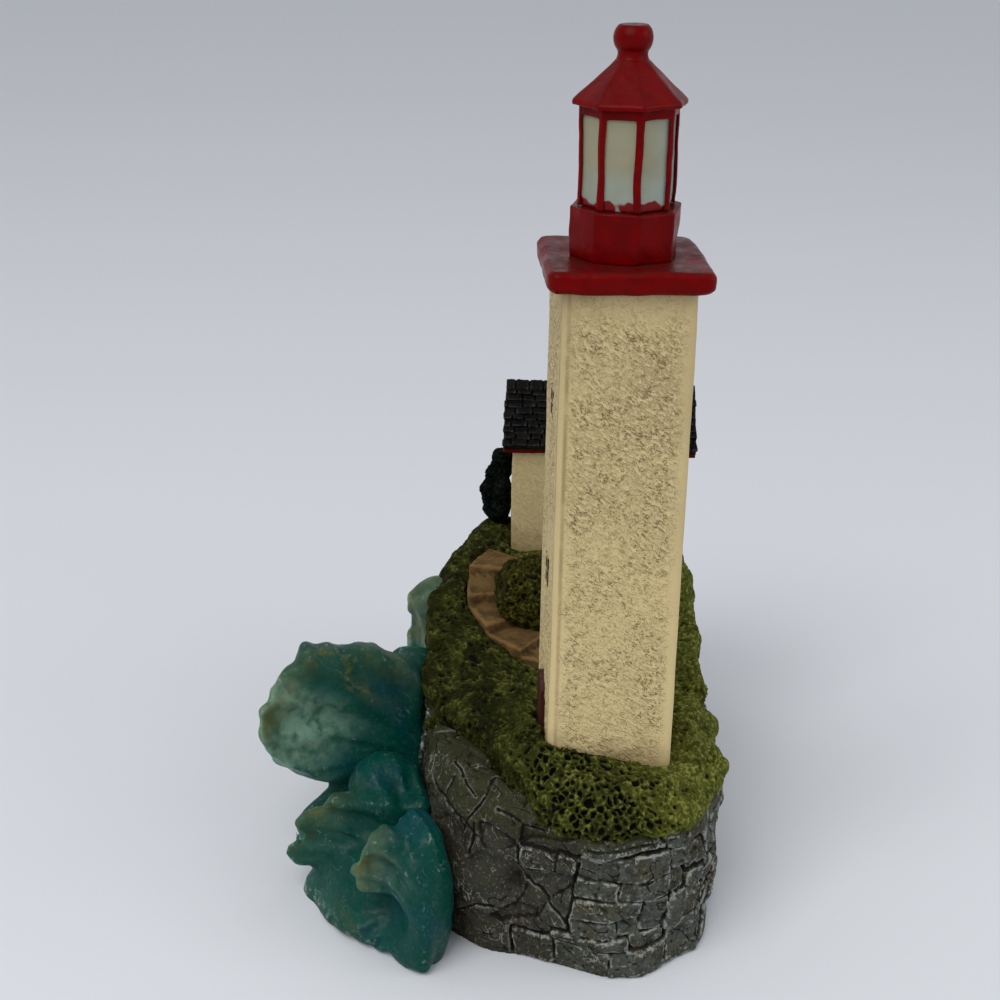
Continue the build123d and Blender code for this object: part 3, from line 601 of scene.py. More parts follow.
def moss_finish(name, body_colour, tip_colour, pit_shade_colour, shade=0.0):
    """Spongy turf or leaves: painted shade in the pits, olive body and yellow-green tips, dull on the sea
    side, with patches of painted shade on the sea-side bank.
    """
    f = Finish(name)
    land_side = f.span(f.along("Y"), 0.002, 0.012)
    # Painted shade: dark patches among the clumps of the sea-side bank, as strong as shade asks.
    clump = f.cloud(3.2, 4.0, 0.40, 0.60, 0.35 * shade, 1.35 * shade)
    bank = f.times(f.span(f.along("Y"), -0.006, -0.016), clump)
    patch = f.math("ADD", f.cloud(6.0, 4.0, 0.64, 0.42, 0.0, 0.45), land_side)
    dull = f.mix(f.cloud(5.0, 3.0, 0.42, 0.62), darker(body_colour, 0.48), darker(body_colour, 0.2))
    bright = f.mix(f.cloud(3.0, 3.0, 0.35, 0.65), darker(body_colour, 1.15), darker(body_colour, 0.7))
    f.body = f.mix(f.span(patch, 0.1, 1.15), dull, bright)
    tips = f.times(f.span(f.kept("tip"), 0.74, 1.0), f.cloud(0.6, 3.0, 0.42, 0.62))
    tips = f.times(tips, f.span(patch, 0.0, 1.0, 0.38, 0.95))
    f.coat(tips, tip_colour)
    # Painted shade on the sea-side bank.
    f.coat(bank, darker(body_colour, 0.12))
    # Painted shade: the pits of the sponge near black.
    f.coat(f.span(f.kept("tip"), 0.76, 0.42), pit_shade_colour)
    rough = f.bump(f.noise(0.25, 3.0), 0.15)
    return f.surface(Roughness=0.8, Normal=rough, Specular_IOR_Level=0.05)


def earth_finish(paint):
    """Brown earth with a dusty lighter tone on the treads and painted shade in its hollows."""
    f = Finish("earth")
    f.body = f.mix(f.cloud(4.0, 4.0, 0.35, 0.68), paint.earth, darker(paint.earth, 0.5))
    # Painted shade in the hollows.
    f.coat(f.span(f.kept("hollow"), 0.04, 0.4, 0.0, 0.8), darker(paint.earth, 0.2))
    f.coat(f.span(f.kept("worn"), 0.06, 0.4, 0.0, 0.4), darker(paint.earth, 1.8))
    grain = f.bump(f.noise(0.5, 4.0), 0.15)
    return f.surface(Roughness=0.8, Normal=grain, Specular_IOR_Level=0.12)


def plaster_finish(paint, ground, pale):
    """Cream plaster with fine sand and slanting flakes, a painted highlight on the flakes and a painted
    brown shadow under them, painted shade in the hollows, painted light towards the foot and a stained
    foot.
    """
    f = Finish("plaster")
    rough = f.kept("rough")
    flake = f.noise(0.45, 5.0, f.drawn((1.0, 2.2, 1.0), (-40, 0, 0)))
    sand = f.noise(0.24, 3.0)
    f.body = f.mix(f.cloud(11.0, 3.0, 0.35, 0.7), paint.plaster, darker(paint.plaster, 0.86))
    # Painted light: the plaster paler towards the foot on the tower and darker on the cottage, for how the
    # light falls.
    f.coat(f.span(f.along("Z"), 0.112, 0.040), darker(paint.plaster, pale))
    # Painted shadow: a brown line at the foot of each flake.
    line = f.times(f.span(flake, 0.37, 0.42), f.span(flake, 0.49, 0.44))
    line = f.times(line, f.cloud(1.4, 3.0, 0.44, 0.58))
    f.coat(f.times(line, 0.9, rough), paint.plaster_wash_and_shade)
    # Painted highlight on the tops of the flakes.
    lit = f.times(f.span(flake, 0.50, 0.62, 0.0, 0.75), rough)
    f.coat(lit, darker(paint.plaster, 1.24))
    grit = f.times(f.span(sand, 0.43, 0.30, 0.0, 0.75), f.span(rough, 0.0, 0.5, 0.25, 1.0))
    f.coat(grit, paint.plaster_wash_and_shade)
    # Painted shade in the hollows.
    f.coat(f.span(f.kept("hollow"), 0.08, 0.5, 0.0, 0.3), paint.plaster_wash_and_shade)
    corner = f.times(f.span(f.kept("corner"), 0.8, 1.1), f.span(f.kept("corner"), 1.7, 1.3))
    sea_side = f.span(f.along("Y"), -0.001, -0.004)
    f.coat(f.times(corner, sea_side, f.cloud(6.0, 3.0, 0.3, 0.6, 0.15, 0.5)), paint.plaster_wash_and_shade)
    speck = f.times(f.span(f.spots(2.6), 0.06, 0.03, 0.0, 0.9), rough)
    f.coat(speck, darker(paint.plaster_wash_and_shade, 0.25))
    foot = f.math("ADD", f.along("Z"), f.times(f.noise(4.0, 4.0), 0.012))
    f.coat(f.span(foot, ground + 0.012, ground + 0.003, 0.0, 0.6), paint.plaster_wash_and_shade)
    height = f.math("ADD", f.span(flake, 0.38, 0.60), f.times(sand, 0.6))
    flakes = f.bump(f.times(height, rough), 0.15)
    grain = f.bump(f.noise(0.2, 3.0), 0.03, flakes)
    return f.surface(Roughness=0.6, Normal=grain, Specular_IOR_Level=0.15)


def enamel_finish(paint):
    """Dark red satin paint with brush marks, painted shade in the hollows, and dust with a painted sheen
    where it faces up.
    """
    f = Finish("red_enamel")
    f.body = f.mix(f.cloud(3.2, 3.0, 0.3, 0.7), paint.enamel, darker(paint.enamel, 0.74))
    # Painted shade in the hollows.
    f.coat(f.span(f.kept("hollow"), 0.05, 0.5, 0.0, 0.6), darker(paint.enamel, 0.3))
    # Dust and painted sheen where the red paint faces up.
    bloom = f.cloud(2.5, 4.0, 0.25, 0.65, 0.15, 0.8)
    f.coat(f.times(f.span(f.kept("up"), 0.55, 0.98), bloom), paint.dust_and_sheen)
    streak = f.bump(f.noise(0.7, 3.0, f.drawn((1.0, 1.0, 2.9))), 0.05)
    gloss = f.cloud(1.8, 3.0, 0.3, 0.7, 0.26, 0.40)
    return f.surface(Roughness=gloss, Normal=streak, Specular_IOR_Level=0.06)


def pane_finish(paint, low, high):
    """Cream panes of the lantern, bluish at the foot, with red paint strayed over their lower edge."""
    f = Finish("lantern_pane")
    height = f.span(f.along("Z"), low, high)
    f.body = f.mix(f.span(height, 0.45, 0.08, 0.0, 0.6), paint.pane, paint.pane_foot)
    f.coat(f.span(f.along("Y"), 0.003, 0.008, 0.0, 0.7), paint.pane_foot)
    f.coat(f.span(f.along("Y"), -0.003, -0.008, 0.0, 0.7), paint.pane_dirt)
    f.coat(f.cloud(5.0, 2.0, 0.4, 0.7, 0.0, 0.4), darker(paint.pane, 0.82))
    strayed = f.math("ADD", height, f.times(f.noise(2.2, 1.0), 0.12))
    f.coat(f.span(strayed, 0.092, 0.078), paint.enamel)
    wavy = f.bump(f.noise(1.2, 2.0), 0.05)
    return f.surface(Roughness=0.35, Normal=wavy, Specular_IOR_Level=0.2)


def slate_finish(paint):
    """Near black satin shingles with paler worn edges and painted shade in the hollows between them."""
    f = Finish("slate")
    f.body = f.mix(f.cloud(2.4, 4.0, 0.35, 0.7), paint.slate, darker(paint.slate, 2.0))
    edge = f.times(f.span(f.kept("worn"), 0.15, 0.55), f.cloud(1.0, 4.0, 0.42, 0.6, 0.1, 0.6))
    f.coat(edge, paint.slate_edge)
    # Painted shade in the hollows between the shingles.
    f.coat(f.span(f.kept("hollow"), 0.05, 0.35), darker(paint.slate, 0.1))
    grain = f.bump(f.noise(0.5, 4.0), 0.08)
    return f.surface(Roughness=0.5, Normal=grain, Specular_IOR_Level=0.05)


def timber_finish(paint):
    """Dark brown painted boards."""
    f = Finish("timber")
    streaks = f.noise(1.1, 4.0, f.drawn((1.0, 1.0, 8.0)))
    f.body = f.mix(f.span(streaks, 0.35, 0.68), paint.timber, darker(paint.timber, 0.45))
    grain = f.bump(f.noise(0.5, 3.0, f.drawn((1.0, 1.0, 10.0))), 0.08)
    return f.surface(Roughness=0.5, Normal=grain, Specular_IOR_Level=0.25)


def sash_finish(paint):
    """Cream painted window frames, a little dirty."""
    f = Finish("sash")
    f.body = f.mix(f.cloud(2.0, 4.0, 0.4, 0.7), paint.plaster, darker(paint.plaster, 0.65))
    return f.surface(Roughness=0.6, Normal=f.bump(f.noise(0.4), 0.04), Specular_IOR_Level=0.15)


def glass_finish(paint):
    """Dark glossy window panes."""
    f = Finish("window_pane")
    f.body = f.mix(f.cloud(2.0, 2.0, 0.3, 0.7), paint.glass, darker(paint.glass, 0.4))
    return f.surface(Roughness=0.12, Normal=f.bump(f.noise(1.5, 2.0), 0.03), Coat_Weight=0.4)


def felt_finish(paint):
    """Dense felt."""
    f = Finish("felt")
    f.body = f.mix(f.cloud(0.6, 4.0, 0.3, 0.7), paint.felt, darker(paint.felt, 0.6))
    return f.surface(Roughness=0.95, Normal=f.bump(f.noise(0.25, 3.0), 0.1), Sheen_Weight=0.4)


def sea_finish(paint):
    """Clear teal resin: deep where it is thick, pale at the crests, with olive rims, veins, scuffs, and
    pale spots that are bubbles and painted glints.
    """
    f = Finish("sea_resin")
    cloud = f.times(f.math("SUBTRACT", f.noise(4.5, 4.0), 0.5), 0.35)
    depth = f.math("ADD", f.kept("thick"), cloud)
    deep = f.mix(f.cloud(10.0, 2.0, 0.48, 0.64), paint.sea, paint.sea_blue)
    f.body = f.mix(f.span(depth, 0.55, 0.22), deep, paint.sea_mid)
    streak = f.cloud(2.2, 6.0, 0.30, 0.66, 0.2, 1.0)
    f.coat(f.times(f.kept("pale"), streak), paint.sea_thin)
    f.coat(f.times(f.span(depth, 0.26, 0.06), 0.75), paint.sea_rim)
    gold = f.times(f.kept("gold"), f.cloud(2.6, 5.0, 0.36, 0.60, 0.35, 1.0))
    vein = f.times(f.kept("vein"), f.cloud(1.3, 5.0, 0.40, 0.58))
    f.coat(f.times(f.math("MAXIMUM", gold, vein), 0.85), paint.foam)
    fine = f.noise(0.7, 5.0)
    f.coat(f.span(fine, 0.54, 0.74, 0.0, 0.10), paint.sea_thin)
    f.coat(f.span(fine, 0.46, 0.28, 0.0, 0.22), darker(paint.sea, 0.35))
    scratch = f.hairs(2.0, 0.006, f.drawn((1.0, 1.0, 4.0), (30, 20, 0)))
    scratch = f.times(scratch, f.cloud(3.5, 3.0, 0.55, 0.62))
    # Pale spots: bubbles and painted glints.
    bubble_and_glint = f.times(f.span(f.spots(1.6), 0.08, 0.04), f.cloud(4.0, 2.0, 0.54, 0.62))
    scuff = f.times(f.cloud(0.9, 5.0, 0.58, 0.70), f.span(f.kept("worn"), 0.05, 0.35))
    low = f.times(f.span(f.along("Z"), 0.0035, 0.001), f.cloud(1.2, 5.0, 0.54, 0.62))
    low = f.times(low, f.span(f.along("Y"), -0.033, -0.040))
    pale = f.math("MAXIMUM", f.math("MAXIMUM", bubble_and_glint, scuff), f.math("MAXIMUM", low, scratch))
    f.coat(f.times(pale, 0.42), paint.scuff)
    gloss = f.cloud(1.0, 4.0, 0.3, 0.7, 0.28, 0.48)
    ripple = f.bump(f.noise(0.8, 4.0), 0.10)
    return f.surface(
        Roughness=gloss,
        Normal=ripple,
        Transmission_Weight=0.3,
        IOR=1.33,
        Subsurface_Weight=0.6,
        Subsurface_Radius=(0.25, 1.0, 0.85),
        Subsurface_Scale=0.003,
        Specular_IOR_Level=0.15,
    )


# Operators, one for each piece or group of like pieces


class LIGHTHOUSE_OT_cliff(bpy.types.Operator):
    """Lay the stone courses of the cliff"""

    bl_idname = "lighthouse.cliff"
    bl_label = "Cliff"

    mould_grain = 0.9 * MM
    # Tops of the courses and the lengths of their blocks
    lines = np.array([-9.0, 5.5, 7.6, 10.2, 13.3, 17.0, 22.6, 28.0, 32.0, 36.0, 41.0])
    widths = np.array([9.6, 13.0, 7.5, 11.0, 7.0, 14.0, 12.0, 10.0, 10.0, 10.0, 10.0])
    # Dents and bulges in the front: place across, height, sizes and rise
    swellings = (
        (-13.7, 13.9, 1.5, 3.4, -2.4),
        (-20.0, 6.0, 5.0, 5.0, 0.8),
        (-19.0, 14.0, 3.5, 4.5, 0.9),
        (-10.0, 6.5, 3.0, 4.0, 0.9),
        (-12.0, 27.0, 4.0, 2.2, 0.9),
        (19.0, 16.0, 1.8, 1.6, 1.5),
    )
    # Stones set one by one in the front: both ends, both beds and how far each stands out
    front_stones = (
        (-3.9, 10.4, 18.2, 22.4, 0.4),
        (-4.1, 2.1, 14.7, 17.9, 0.9),
        (2.6, 10.4, 14.8, 17.9, 0.5),
        (-4.6, 5.9, 10.9, 14.4, 1.0),
        (6.3, 10.1, 8.1, 14.4, 0.1),
        (-5.0, 2.2, 7.9, 10.5, 0.2),
        (2.5, 6.0, 7.9, 10.5, -0.3),
        (-7.2, 4.2, 5.3, 7.6, 0.6),
        (4.5, 10.3, 5.3, 7.8, -0.3),
        (-7.0, 1.1, -9.0, 5.0, 0.3),
        (1.4, 10.4, -9.0, 5.0, 0.5),
        (10.8, 17.0, -9.0, 7.4, 0.2),
        (10.4, 13.3, 7.7, 14.2, 0.6),
        (13.6, 17.0, 7.7, 11.8, -0.2),
        (13.6, 17.0, 12.1, 16.2, 0.5),
        (10.7, 13.3, 14.5, 18.0, -0.2),
        (10.7, 16.6, 18.3, 22.0, 0.5),
        (-13.6, -7.3, -9.0, 5.6, 0.2),
        (-12.8, -7.4, 17.7, 21.3, 0.9),
        (-7.1, -4.3, 17.8, 22.0, 0.6),
    )
    # Cracks that run over the bare rock of the sea corner, and the direction they are cut square to
    crack_way = np.array([0.838, -0.04, 0.546])
    cracks = (
        ((29.8, -23.2, 30.0), (37.0, -19.9, 27.7)),
        ((28.2, -26.4, 26.5), (32.5, -24.7, 24.9), (38.6, -21.7, 23.3)),
        ((34.3, -23.0, 29.4), (32.3, -24.7, 25.2)),
        ((35.5, -16.6, 30.0), (37.3, -18.1, 28.3), (37.0, -21.6, 21.9)),
        ((39.1, -19.9, 24.1), (38.0, -20.3, 17.8)),
        ((39.9, -16.4, 27.0), (40.7, -12.9, 25.8), (42.7, -9.5, 24.5)),
        (
            (41.4, -13.5, 17.5),
            (43.0, -11.1, 15.5),
            (43.6, -8.9, 12.9),
            (45.5, -6.1, 10.0),
            (46.7, -4.7, 7.6),
        ),
        ((35.2, -23.3, 5.0), (38.2, -19.2, 8.6), (40.8, -14.8, 8.8)),
    )

    def execute(self, context):
        sizes = context.scene.lighthouse_relief
        skin = Skin(cast(nodes_of("rock_base"), self.mould_grain)).smooth(5)
        skin = skin.fresh(sizes.stone_grain).smooth(2)
        points = skin.points
        normals = skin.normals()
        bevel = sizes.stone_round / MM
        blocks, joint = self.courses(points, sizes)
        boulders, crack = self.boulders(points, normals)
        laid = self.laid(points) * (1 - ease(0.45, 0.8, np.abs(normals[:, 2])))
        stones, inside = self.front_wall(points, bevel)
        near = inside > -0.25
        flush = 1 - 0.75 * ease(30.0, 36.0, points[:, 0]) * ease(12.0, 16.0, points[:, 1])
        blocks = np.where(near, stones, flush * blocks)
        joint = np.where(near, np.maximum(inside, 0.0), np.minimum(joint, -inside - 0.25))
        crack = np.where(near, crack, np.minimum(crack, -inside - 0.25))
        laid = np.where(near, 1.0, laid)
        rim = laid * joint + (1 - laid) * crack
        sunk = 1 - np.sqrt(1 - (1 - np.clip(rim / bevel, 0, 1)) ** 2)
        depth = laid * blocks + (1 - laid) * boulders - sizes.stone_gap / MM * (0.45 + 0.55 * laid) * sunk
        front = ease(34.0, 40.0, points[:, 0])
        for across, up, wide, high, rise in self.swellings:
            near = ((points[:, 1] - across) / wide) ** 2 + ((points[:, 2] - up) / high) ** 2
            depth += front * rise * np.exp(-near)
        depth += 0.22 * roughness(points, 1.5, 31, 3)
        underside = normals[:, 2] < -0.6
        skin.push(np.where(underside, 0, depth), normals)
        skin.smooth(1, 0.2)
        skin.keep_bend(1)
        skin.keep("laid", laid)
        skin.keep("rim", np.where(underside, 3.0, rim))
        self.level_underside(skin, underside)
        skin.piece("cliff_stone", "rock", ["rock_base"], stone_finish(context.scene.lighthouse_paint))
        return {"FINISHED"}

    def run(self, points):
        """Distance round the cliff at each point."""
        angle = np.arctan2(points[:, 1], points[:, 0])
        low_ring = (points[:, 2] > 2) & (points[:, 2] < 6)
        marks = np.linspace(-math.pi, math.pi, 145)
        slot = np.clip(np.digitize(angle[low_ring], marks) - 1, 0, len(marks) - 2)
        radius = np.zeros(len(marks) - 1)
        np.maximum.at(radius, slot, np.hypot(points[low_ring, 0], points[low_ring, 1]))
        middle = (marks[1:] + marks[:-1]) / 2
        steps = np.hypot(np.diff(radius * np.cos(middle)), np.diff(radius * np.sin(middle)))
        return np.interp(angle, middle, np.concatenate([[0], np.cumsum(steps)]))

    def courses(self, points, sizes):
        """Height of the stone blocks and the distance of each point to the nearest joint."""
        run = self.run(points)
        height = points[:, 2] + 0.9 * lumps(flat(run), 17.0, 4) * ease(3.0, 9.0, points[:, 2])
        wavy = []
        for row, line in enumerate(self.lines):
            wavy.append(line + 0.55 * lumps(flat(run, np.full(len(run), 7.0 * row)), 8.0, 5))
        wavy = np.stack(wavy)
        row = np.clip((height > wavy).sum(axis=0) - 1, 0, len(self.lines) - 2)
        spots = np.arange(len(run))
        chip = 0.35 * roughness(points, 1.4, 7, 2)
        below = height - wavy[row, spots] + chip
        above = wavy[row + 1, spots] - height + chip
        wide = self.widths[row]
        place = run / wide + 0.37 * row + 0.10 * lumps(flat(run, height), 3.0, 9)
        block = np.floor(place)
        block = np.where(place < block + 0.6 * scatter(flat(block, row), 11), block - 1, block)
        left = (place - block - 0.6 * scatter(flat(block, row), 11)) * wide + chip
        right = (block + 1 + 0.6 * scatter(flat(block + 1, row), 11) - place) * wide + chip
        number = flat(block, row)
        bed = np.minimum(below, above)
        rim = rounded(np.minimum(left, right), bed, sizes.stone_round / MM)
        out = (scatter(number, 12) - 0.5) * sizes.stone_offset / MM * ease(0.0, 8.0, points[:, 2] + 3.0)
        lean = (scatter(number, 13) - 0.5) * 0.24 * (below - above)
        lean += (scatter(number, 14) - 0.5) * 0.12 * (left - right)
        seam = np.abs(below - above - 1.2 * lumps(flat(run, number[:, 1] * 3.0), 5.0, 17))
        seam = ease(0.5, 0.0, seam) * (scatter(number, 15) > 0.55) * (bed > 0.8)
        rim = np.where(seam > 0.3, np.minimum(rim, 0.55 - 0.4 * seam), rim)
        return out + lean + self.hewn(points) - 0.4 * seam, rim

    def hewn(self, points):
        """Small broken faces of a block."""
        broken, split = facets(points, np.array([3.0, 3.0, 1.8]), 21)
        return 0.42 * broken - 0.18 * ease(0.10, 0.0, split)

    def front_wall(self, points, bevel):
        """Height of the listed stones and how far inside the nearest of them each point is."""
        x, y, z = points.T
        chip = 0.30 * roughness(points, 1.7, 8, 3)
        sag = 0.45 * lumps(points, 6.0, 18)
        inside = np.full(len(points), -9.0)
        beside = inside.copy()
        height = np.zeros(len(points))
        for index, (left, right, under, top, out) in enumerate(self.front_stones):
            rise = z - (max(under, 0) + top) / 2
            slant = 0.22 * math.sin(7.0 * index) * rise
            side = np.minimum(y - left - slant, right - y + slant) + 0.22 + chip
            bed = np.minimum(z + sag - under, top - z - sag) + 0.22 + chip
            rim = rounded(side, bed, bevel)
            lean = 0.12 * math.sin(5.0 * index) * rise
            lean += 0.06 * math.cos(3.0 * index) * (y - (left + right) / 2)
            height = np.where(rim > inside, out + lean, height)
            beside = np.maximum(beside, np.minimum(inside, rim))
            inside = np.maximum(inside, rim)
        inside = inside - np.maximum(beside, 0.0)
        return height + 0.8 * self.hewn(points), np.where(x > 33.0, inside, -9.0)

    def boulders(self, points, normals):
        """Height of broken boulder faces and the distance of each point to the nearest crack."""
        warped = points + 1.6 * np.stack([lumps(points, 7.0, seed) for seed in (41, 42, 43)], axis=1)
        slanted = warped @ np.array([[1.0, 0.0, 0.35], [0.0, 1.0, -0.45], [-0.2, 0.5, 1.0]])
        large, crack = facets(slanted, np.array([13.0, 12.0, 8.0]), 44, 1.3)
        small, _ = facets(slanted, np.array([5.0, 4.6, 3.4]), 48, 1.0)
        face = 1.15 * large + 0.28 * small + 0.4 * roughness(points, 5.0, 52)
        corner = ease(24.0, 32.0, points[:, 0]) * ease(0.0, -6.0, points[:, 1])
        wander = 0.6 * np.stack([roughness(points, 3.0, seed, 2) for seed in (53, 56, 59)], axis=1)
        inward = self.crack_way
        paths = [np.array(path) - np.outer(np.array(path) @ inward, inward) for path in self.cracks]
        spots = points + wander - np.outer((points + wander) @ inward, inward)
        drawn = 1.5 * np.maximum(to_paths(spots, paths) - 0.08, 0.0)
        drawn = np.where((normals @ inward > 0.1) & (points[:, 0] > 24.0), drawn, 9.0)
        rim = np.minimum(6.5 * crack + 0.28 + 3.0 * corner, drawn)
        return face, rim + 0.08 * roughness(points, 1.2, 57, 2)

    def laid(self, points):
        """Where the cliff is laid in courses; the sea corner and a few patches are bare boulder."""
        wander = 1.5 * lumps(points, 9.0, 62)
        corner = ease(-3.0, -5.0, points[:, 1] + wander) * ease(12.0, 20.0, points[:, 0])
        patches = ease(0.25, 0.5, lumps(points, 22.0, 61)) * ease(20.0, 8.0, points[:, 0])
        return 1 - np.maximum(corner, patches)

    def level_underside(self, skin, underside):
        """Sets the underside flat, with a recess over the felt pad."""
        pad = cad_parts["base_pad"].data
        tree = BVHTree.FromPolygons([v.co for v in pad.vertices], [p.vertices[:] for p in pad.polygons])
        recess = max(vertex.co.z for vertex in pad.vertices) / MM + 0.05
        for index in np.flatnonzero(underside & (skin.points[:, 2] < 2)):
            x, y, _ = skin.points[index] * MM
            hit = tree.ray_cast(Vector((x, y, -1.0)), Vector((0, 0, 1)))[0]
            skin.points[index, 2] = recess if hit else 0.0
        skin.points[:, 2] = np.maximum(skin.points[:, 2], 0.0)


class LIGHTHOUSE_OT_turf(bpy.types.Operator):
    """Lay the moss-like turf over the top of the cliff"""

    bl_idname = "lighthouse.turf"
    bl_label = "Turf"

    mould_grain = 0.55 * MM
    # Tufts that stand up from the turf: place, width and rise
    tufts = (
        (14.0, -15.0, 5.5, 2.2),
        (22.0, -12.5, 4.0, 1.6),
        (4.0, -19.0, 5.0, 1.2),
        (-12.0, -21.0, 5.0, 1.0),
        (-43.0, 22.0, 5.0, 1.4),
    )

    def execute(self, context):
        sizes = context.scene.lighthouse_relief
        paint = context.scene.lighthouse_paint
        turf = ("tower_turf", "bank_turf", "land_turf")
        skin = Skin(cast(nodes_of(*turf), self.mould_grain)).smooth(8)
        self.bank_up(skin)
        self.mound(skin)
        skin = skin.fresh(sizes.moss_grain).smooth(1)
        x, y, _ = skin.points.T
        land_side = ease(3.0, 11.0, y + 2.0 * lumps(skin.points, 5.0, 118))
        pits = (sizes.moss_pit / MM, sizes.moss_fine_pit / MM)
        torn = 0.46 * ease(26.0, 34.0, x) * ease(-14.0, -6.0, y) * ease(14.0, 6.0, y)
        opened = 0.54 - 0.16 * land_side + torn
        sponge(skin, 4.0, 0.6, pits, land_side, opened, sizes.moss_depth / MM, 101)
        finish = moss_finish("turf", paint.moss, paint.moss_tip, paint.moss_pit, 0.62)
        skin.piece("turf", "turf", turf, finish)
        return {"FINISHED"}

    def bank_up(self, skin):
        """Banks the turf up against the sea side of the tower's front and lets it fall on the land side."""
        low, high = box_of("tower_shaft")
        middle = (low[1] + high[1]) / 2
        x, y, _ = skin.points.T
        aside = np.maximum(np.abs(y - middle) - (high[1] - low[1]) / 2, 0)
        beyond = np.hypot(np.maximum(x - high[0], 0), aside)
        share = np.exp(-((beyond / 6.0) ** 2)) * ease(18.0, 32.0, x) * ease(0.1, 0.7, skin.normals()[:, 2])
        skin.points[:, 2] += share * (0.9 - 0.26 * np.clip(y - middle, -11, 11))

    def mound(self, skin):
        """Raises the turf round the foot of the dark shrub and in tufts along the bank."""
        low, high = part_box("dark_shrub")
        shrub = ((low.x + high.x) / 2 / MM, (low.y + high.y) / 2 / MM, 9.0, 1.8)
        upward = ease(0.1, 0.7, skin.normals()[:, 2])
        for x, y, wide, rise in (shrub, *self.tufts):
            near = np.exp(-np.sum((skin.points[:, :2] - (x, y)) ** 2, axis=1) / wide**2)
            skin.points[:, 2] += rise * near * upward


def sponge(skin, clump, clump_height, pits, fine, opened, depth, seed):
    """Gives a skin soft clumps, rough tips and a web of thin ridges round pits of one or two sizes."""
    points = skin.points
    stray = [roughness(points, 1.3, seed + 3 * axis, 3) for axis in range(3)]
    warped = points + 0.7 * np.stack(stray, axis=1)
    webs = []
    for pit in pits:
        first, second, owner, _ = clusters(warped, pit, seed + 5)
        webs.append((0.4 + 0.6 * owner) * ease(0.02, 0.42, second - first))
    tip = 0.97 - opened * ((1 - fine) * webs[0] + fine * webs[-1])
    tip = np.clip(tip + 0.40 * roughness(points, 0.75, seed + 9, 3), 0, 1)
    mound = clump_height * (0.8 - clusters(points, clump, seed + 12)[0] * 1.6)
    skin.push(mound + depth * (tip - 0.7))
    skin.keep("tip", tip)


class LIGHTHOUSE_OT_bushes(bpy.types.Operator):
    """Grow the garden bush and the dark shrub"""

    bl_idname = "lighthouse.bushes"
    bl_label = "Bushes"

    mould_grain = 0.5 * MM
    # Upright shrub: share of its width at the foot, share added above, its shift and the rise of its head
    shrub_foot = 0.48
    shrub_swell = 0.40
    shrub_shift = 1.2
    shrub_rise = 1.3

    def execute(self, context):
        sizes = context.scene.lighthouse_relief
        paint = context.scene.lighthouse_paint
        leaf = moss_finish("leaf", paint.leaf, paint.leaf_tip, paint.moss_pit)
        dark_leaf = moss_finish("dark_leaf", paint.dark_leaf, paint.dark_leaf_tip, paint.dark_pit_shade)
        for node, slot, finish, clump, height in (
            ("garden_bush", "leaf", leaf, 2.8, 0.8),
            ("dark_shrub", "dark_leaf", dark_leaf, 4.0, 1.7),
        ):
            skin = Skin(cast(nodes_of(node), self.mould_grain)).smooth(6).fresh(sizes.moss_grain)
            if node == "dark_shrub":
                self.trim(skin)
            sponge(skin, clump, height, [sizes.moss_fine_pit / MM], 1.0, 0.6, sizes.moss_depth / MM, 151)
            skin.piece(f"{node}_leaves", slot, [node], finish)
        return {"FINISHED"}

    def trim(self, skin):
        """Draws the foot of the upright shrub in and sets its head against the cottage wall."""
        low, high = box_of("dark_shrub")
        middle = (low + high) / 2
        share = (skin.points[:, 2] - low[2]) / (high[2] - low[2])
        wide = self.shrub_foot + self.shrub_swell * ease(0.05, 0.5, share)
        skin.points[:, :2] = middle[:2] + (skin.points[:, :2] - middle[:2]) * wide[:, None]
        skin.points[:, 1] += self.shrub_shift
        skin.points[:, 2] += self.shrub_rise * share


class LIGHTHOUSE_OT_path(bpy.types.Operator):
    """Tread the earth path and the doorstep"""

    bl_idname = "lighthouse.path"
    bl_label = "Path"

    mould_grain = 0.3 * MM

    def execute(self, context):
        finish = earth_finish(context.scene.lighthouse_paint)
        for node in ("footpath", "doorstep"):
            skin = Skin(cast(nodes_of(node), self.mould_grain)).smooth(3)
            skin.push(0.3 * roughness(skin.points, 3.0, 171) + 0.10 * roughness(skin.points, 0.8, 175))
            skin.keep_bend(2)
            skin.piece(f"{node}_earth", "earth", [node], finish)
        return {"FINISHED"}


class Fan(typing.NamedTuple):
    """Crest of a wave that spreads from a root on the cliff face, in millimetres and degrees."""

    root: tuple
    heading: float
    reach: float
    rim: tuple
    ragged: float
    pale_angles: tuple
    pale: float
    gold_angles: tuple
    gold: float

    def outward(self):
        """Level direction in which the crest is thrown."""
        turn = math.radians(self.heading)
        return np.array([math.sin(turn), -math.cos(turn), 0.0])

    def across(self):
        """Level direction square to the crest."""
        turn = math.radians(self.heading)
        return np.array([math.cos(turn), math.sin(turn), 0.0])

    def polar(self, points):
        """Distance out from the cliff face, off to the side, the angle over the level and the radius."""
        reached = points - np.array(self.root)
        out = reached @ self.outward()
        angle = np.arctan2(reached[:, 2], np.maximum(out, 0.1))
        return out, reached @ self.across(), angle, np.hypot(out, reached[:, 2])

    def tint(self, points, angles, strength, start, full):
        """Strength of a tint between two angles, growing over a part of the way to the rim, in rays."""
        _, side, angle, radius = self.polar(points)
        low, high = angles
        degrees = np.degrees(angle)
        window = ease(low - 6.0, low + 6.0, degrees) * ease(high + 8.0, high - 8.0, degrees)
        share = radius / (self.reach + np.interp(degrees, *zip(*self.rim)))
        rays = 1 + 0.5 * lumps(flat(angle * 9.0, radius / 9.0), 1.0, 241)
        return strength * window * rays * ease(start, full, share) * np.exp(-((side / 8.0) ** 2))


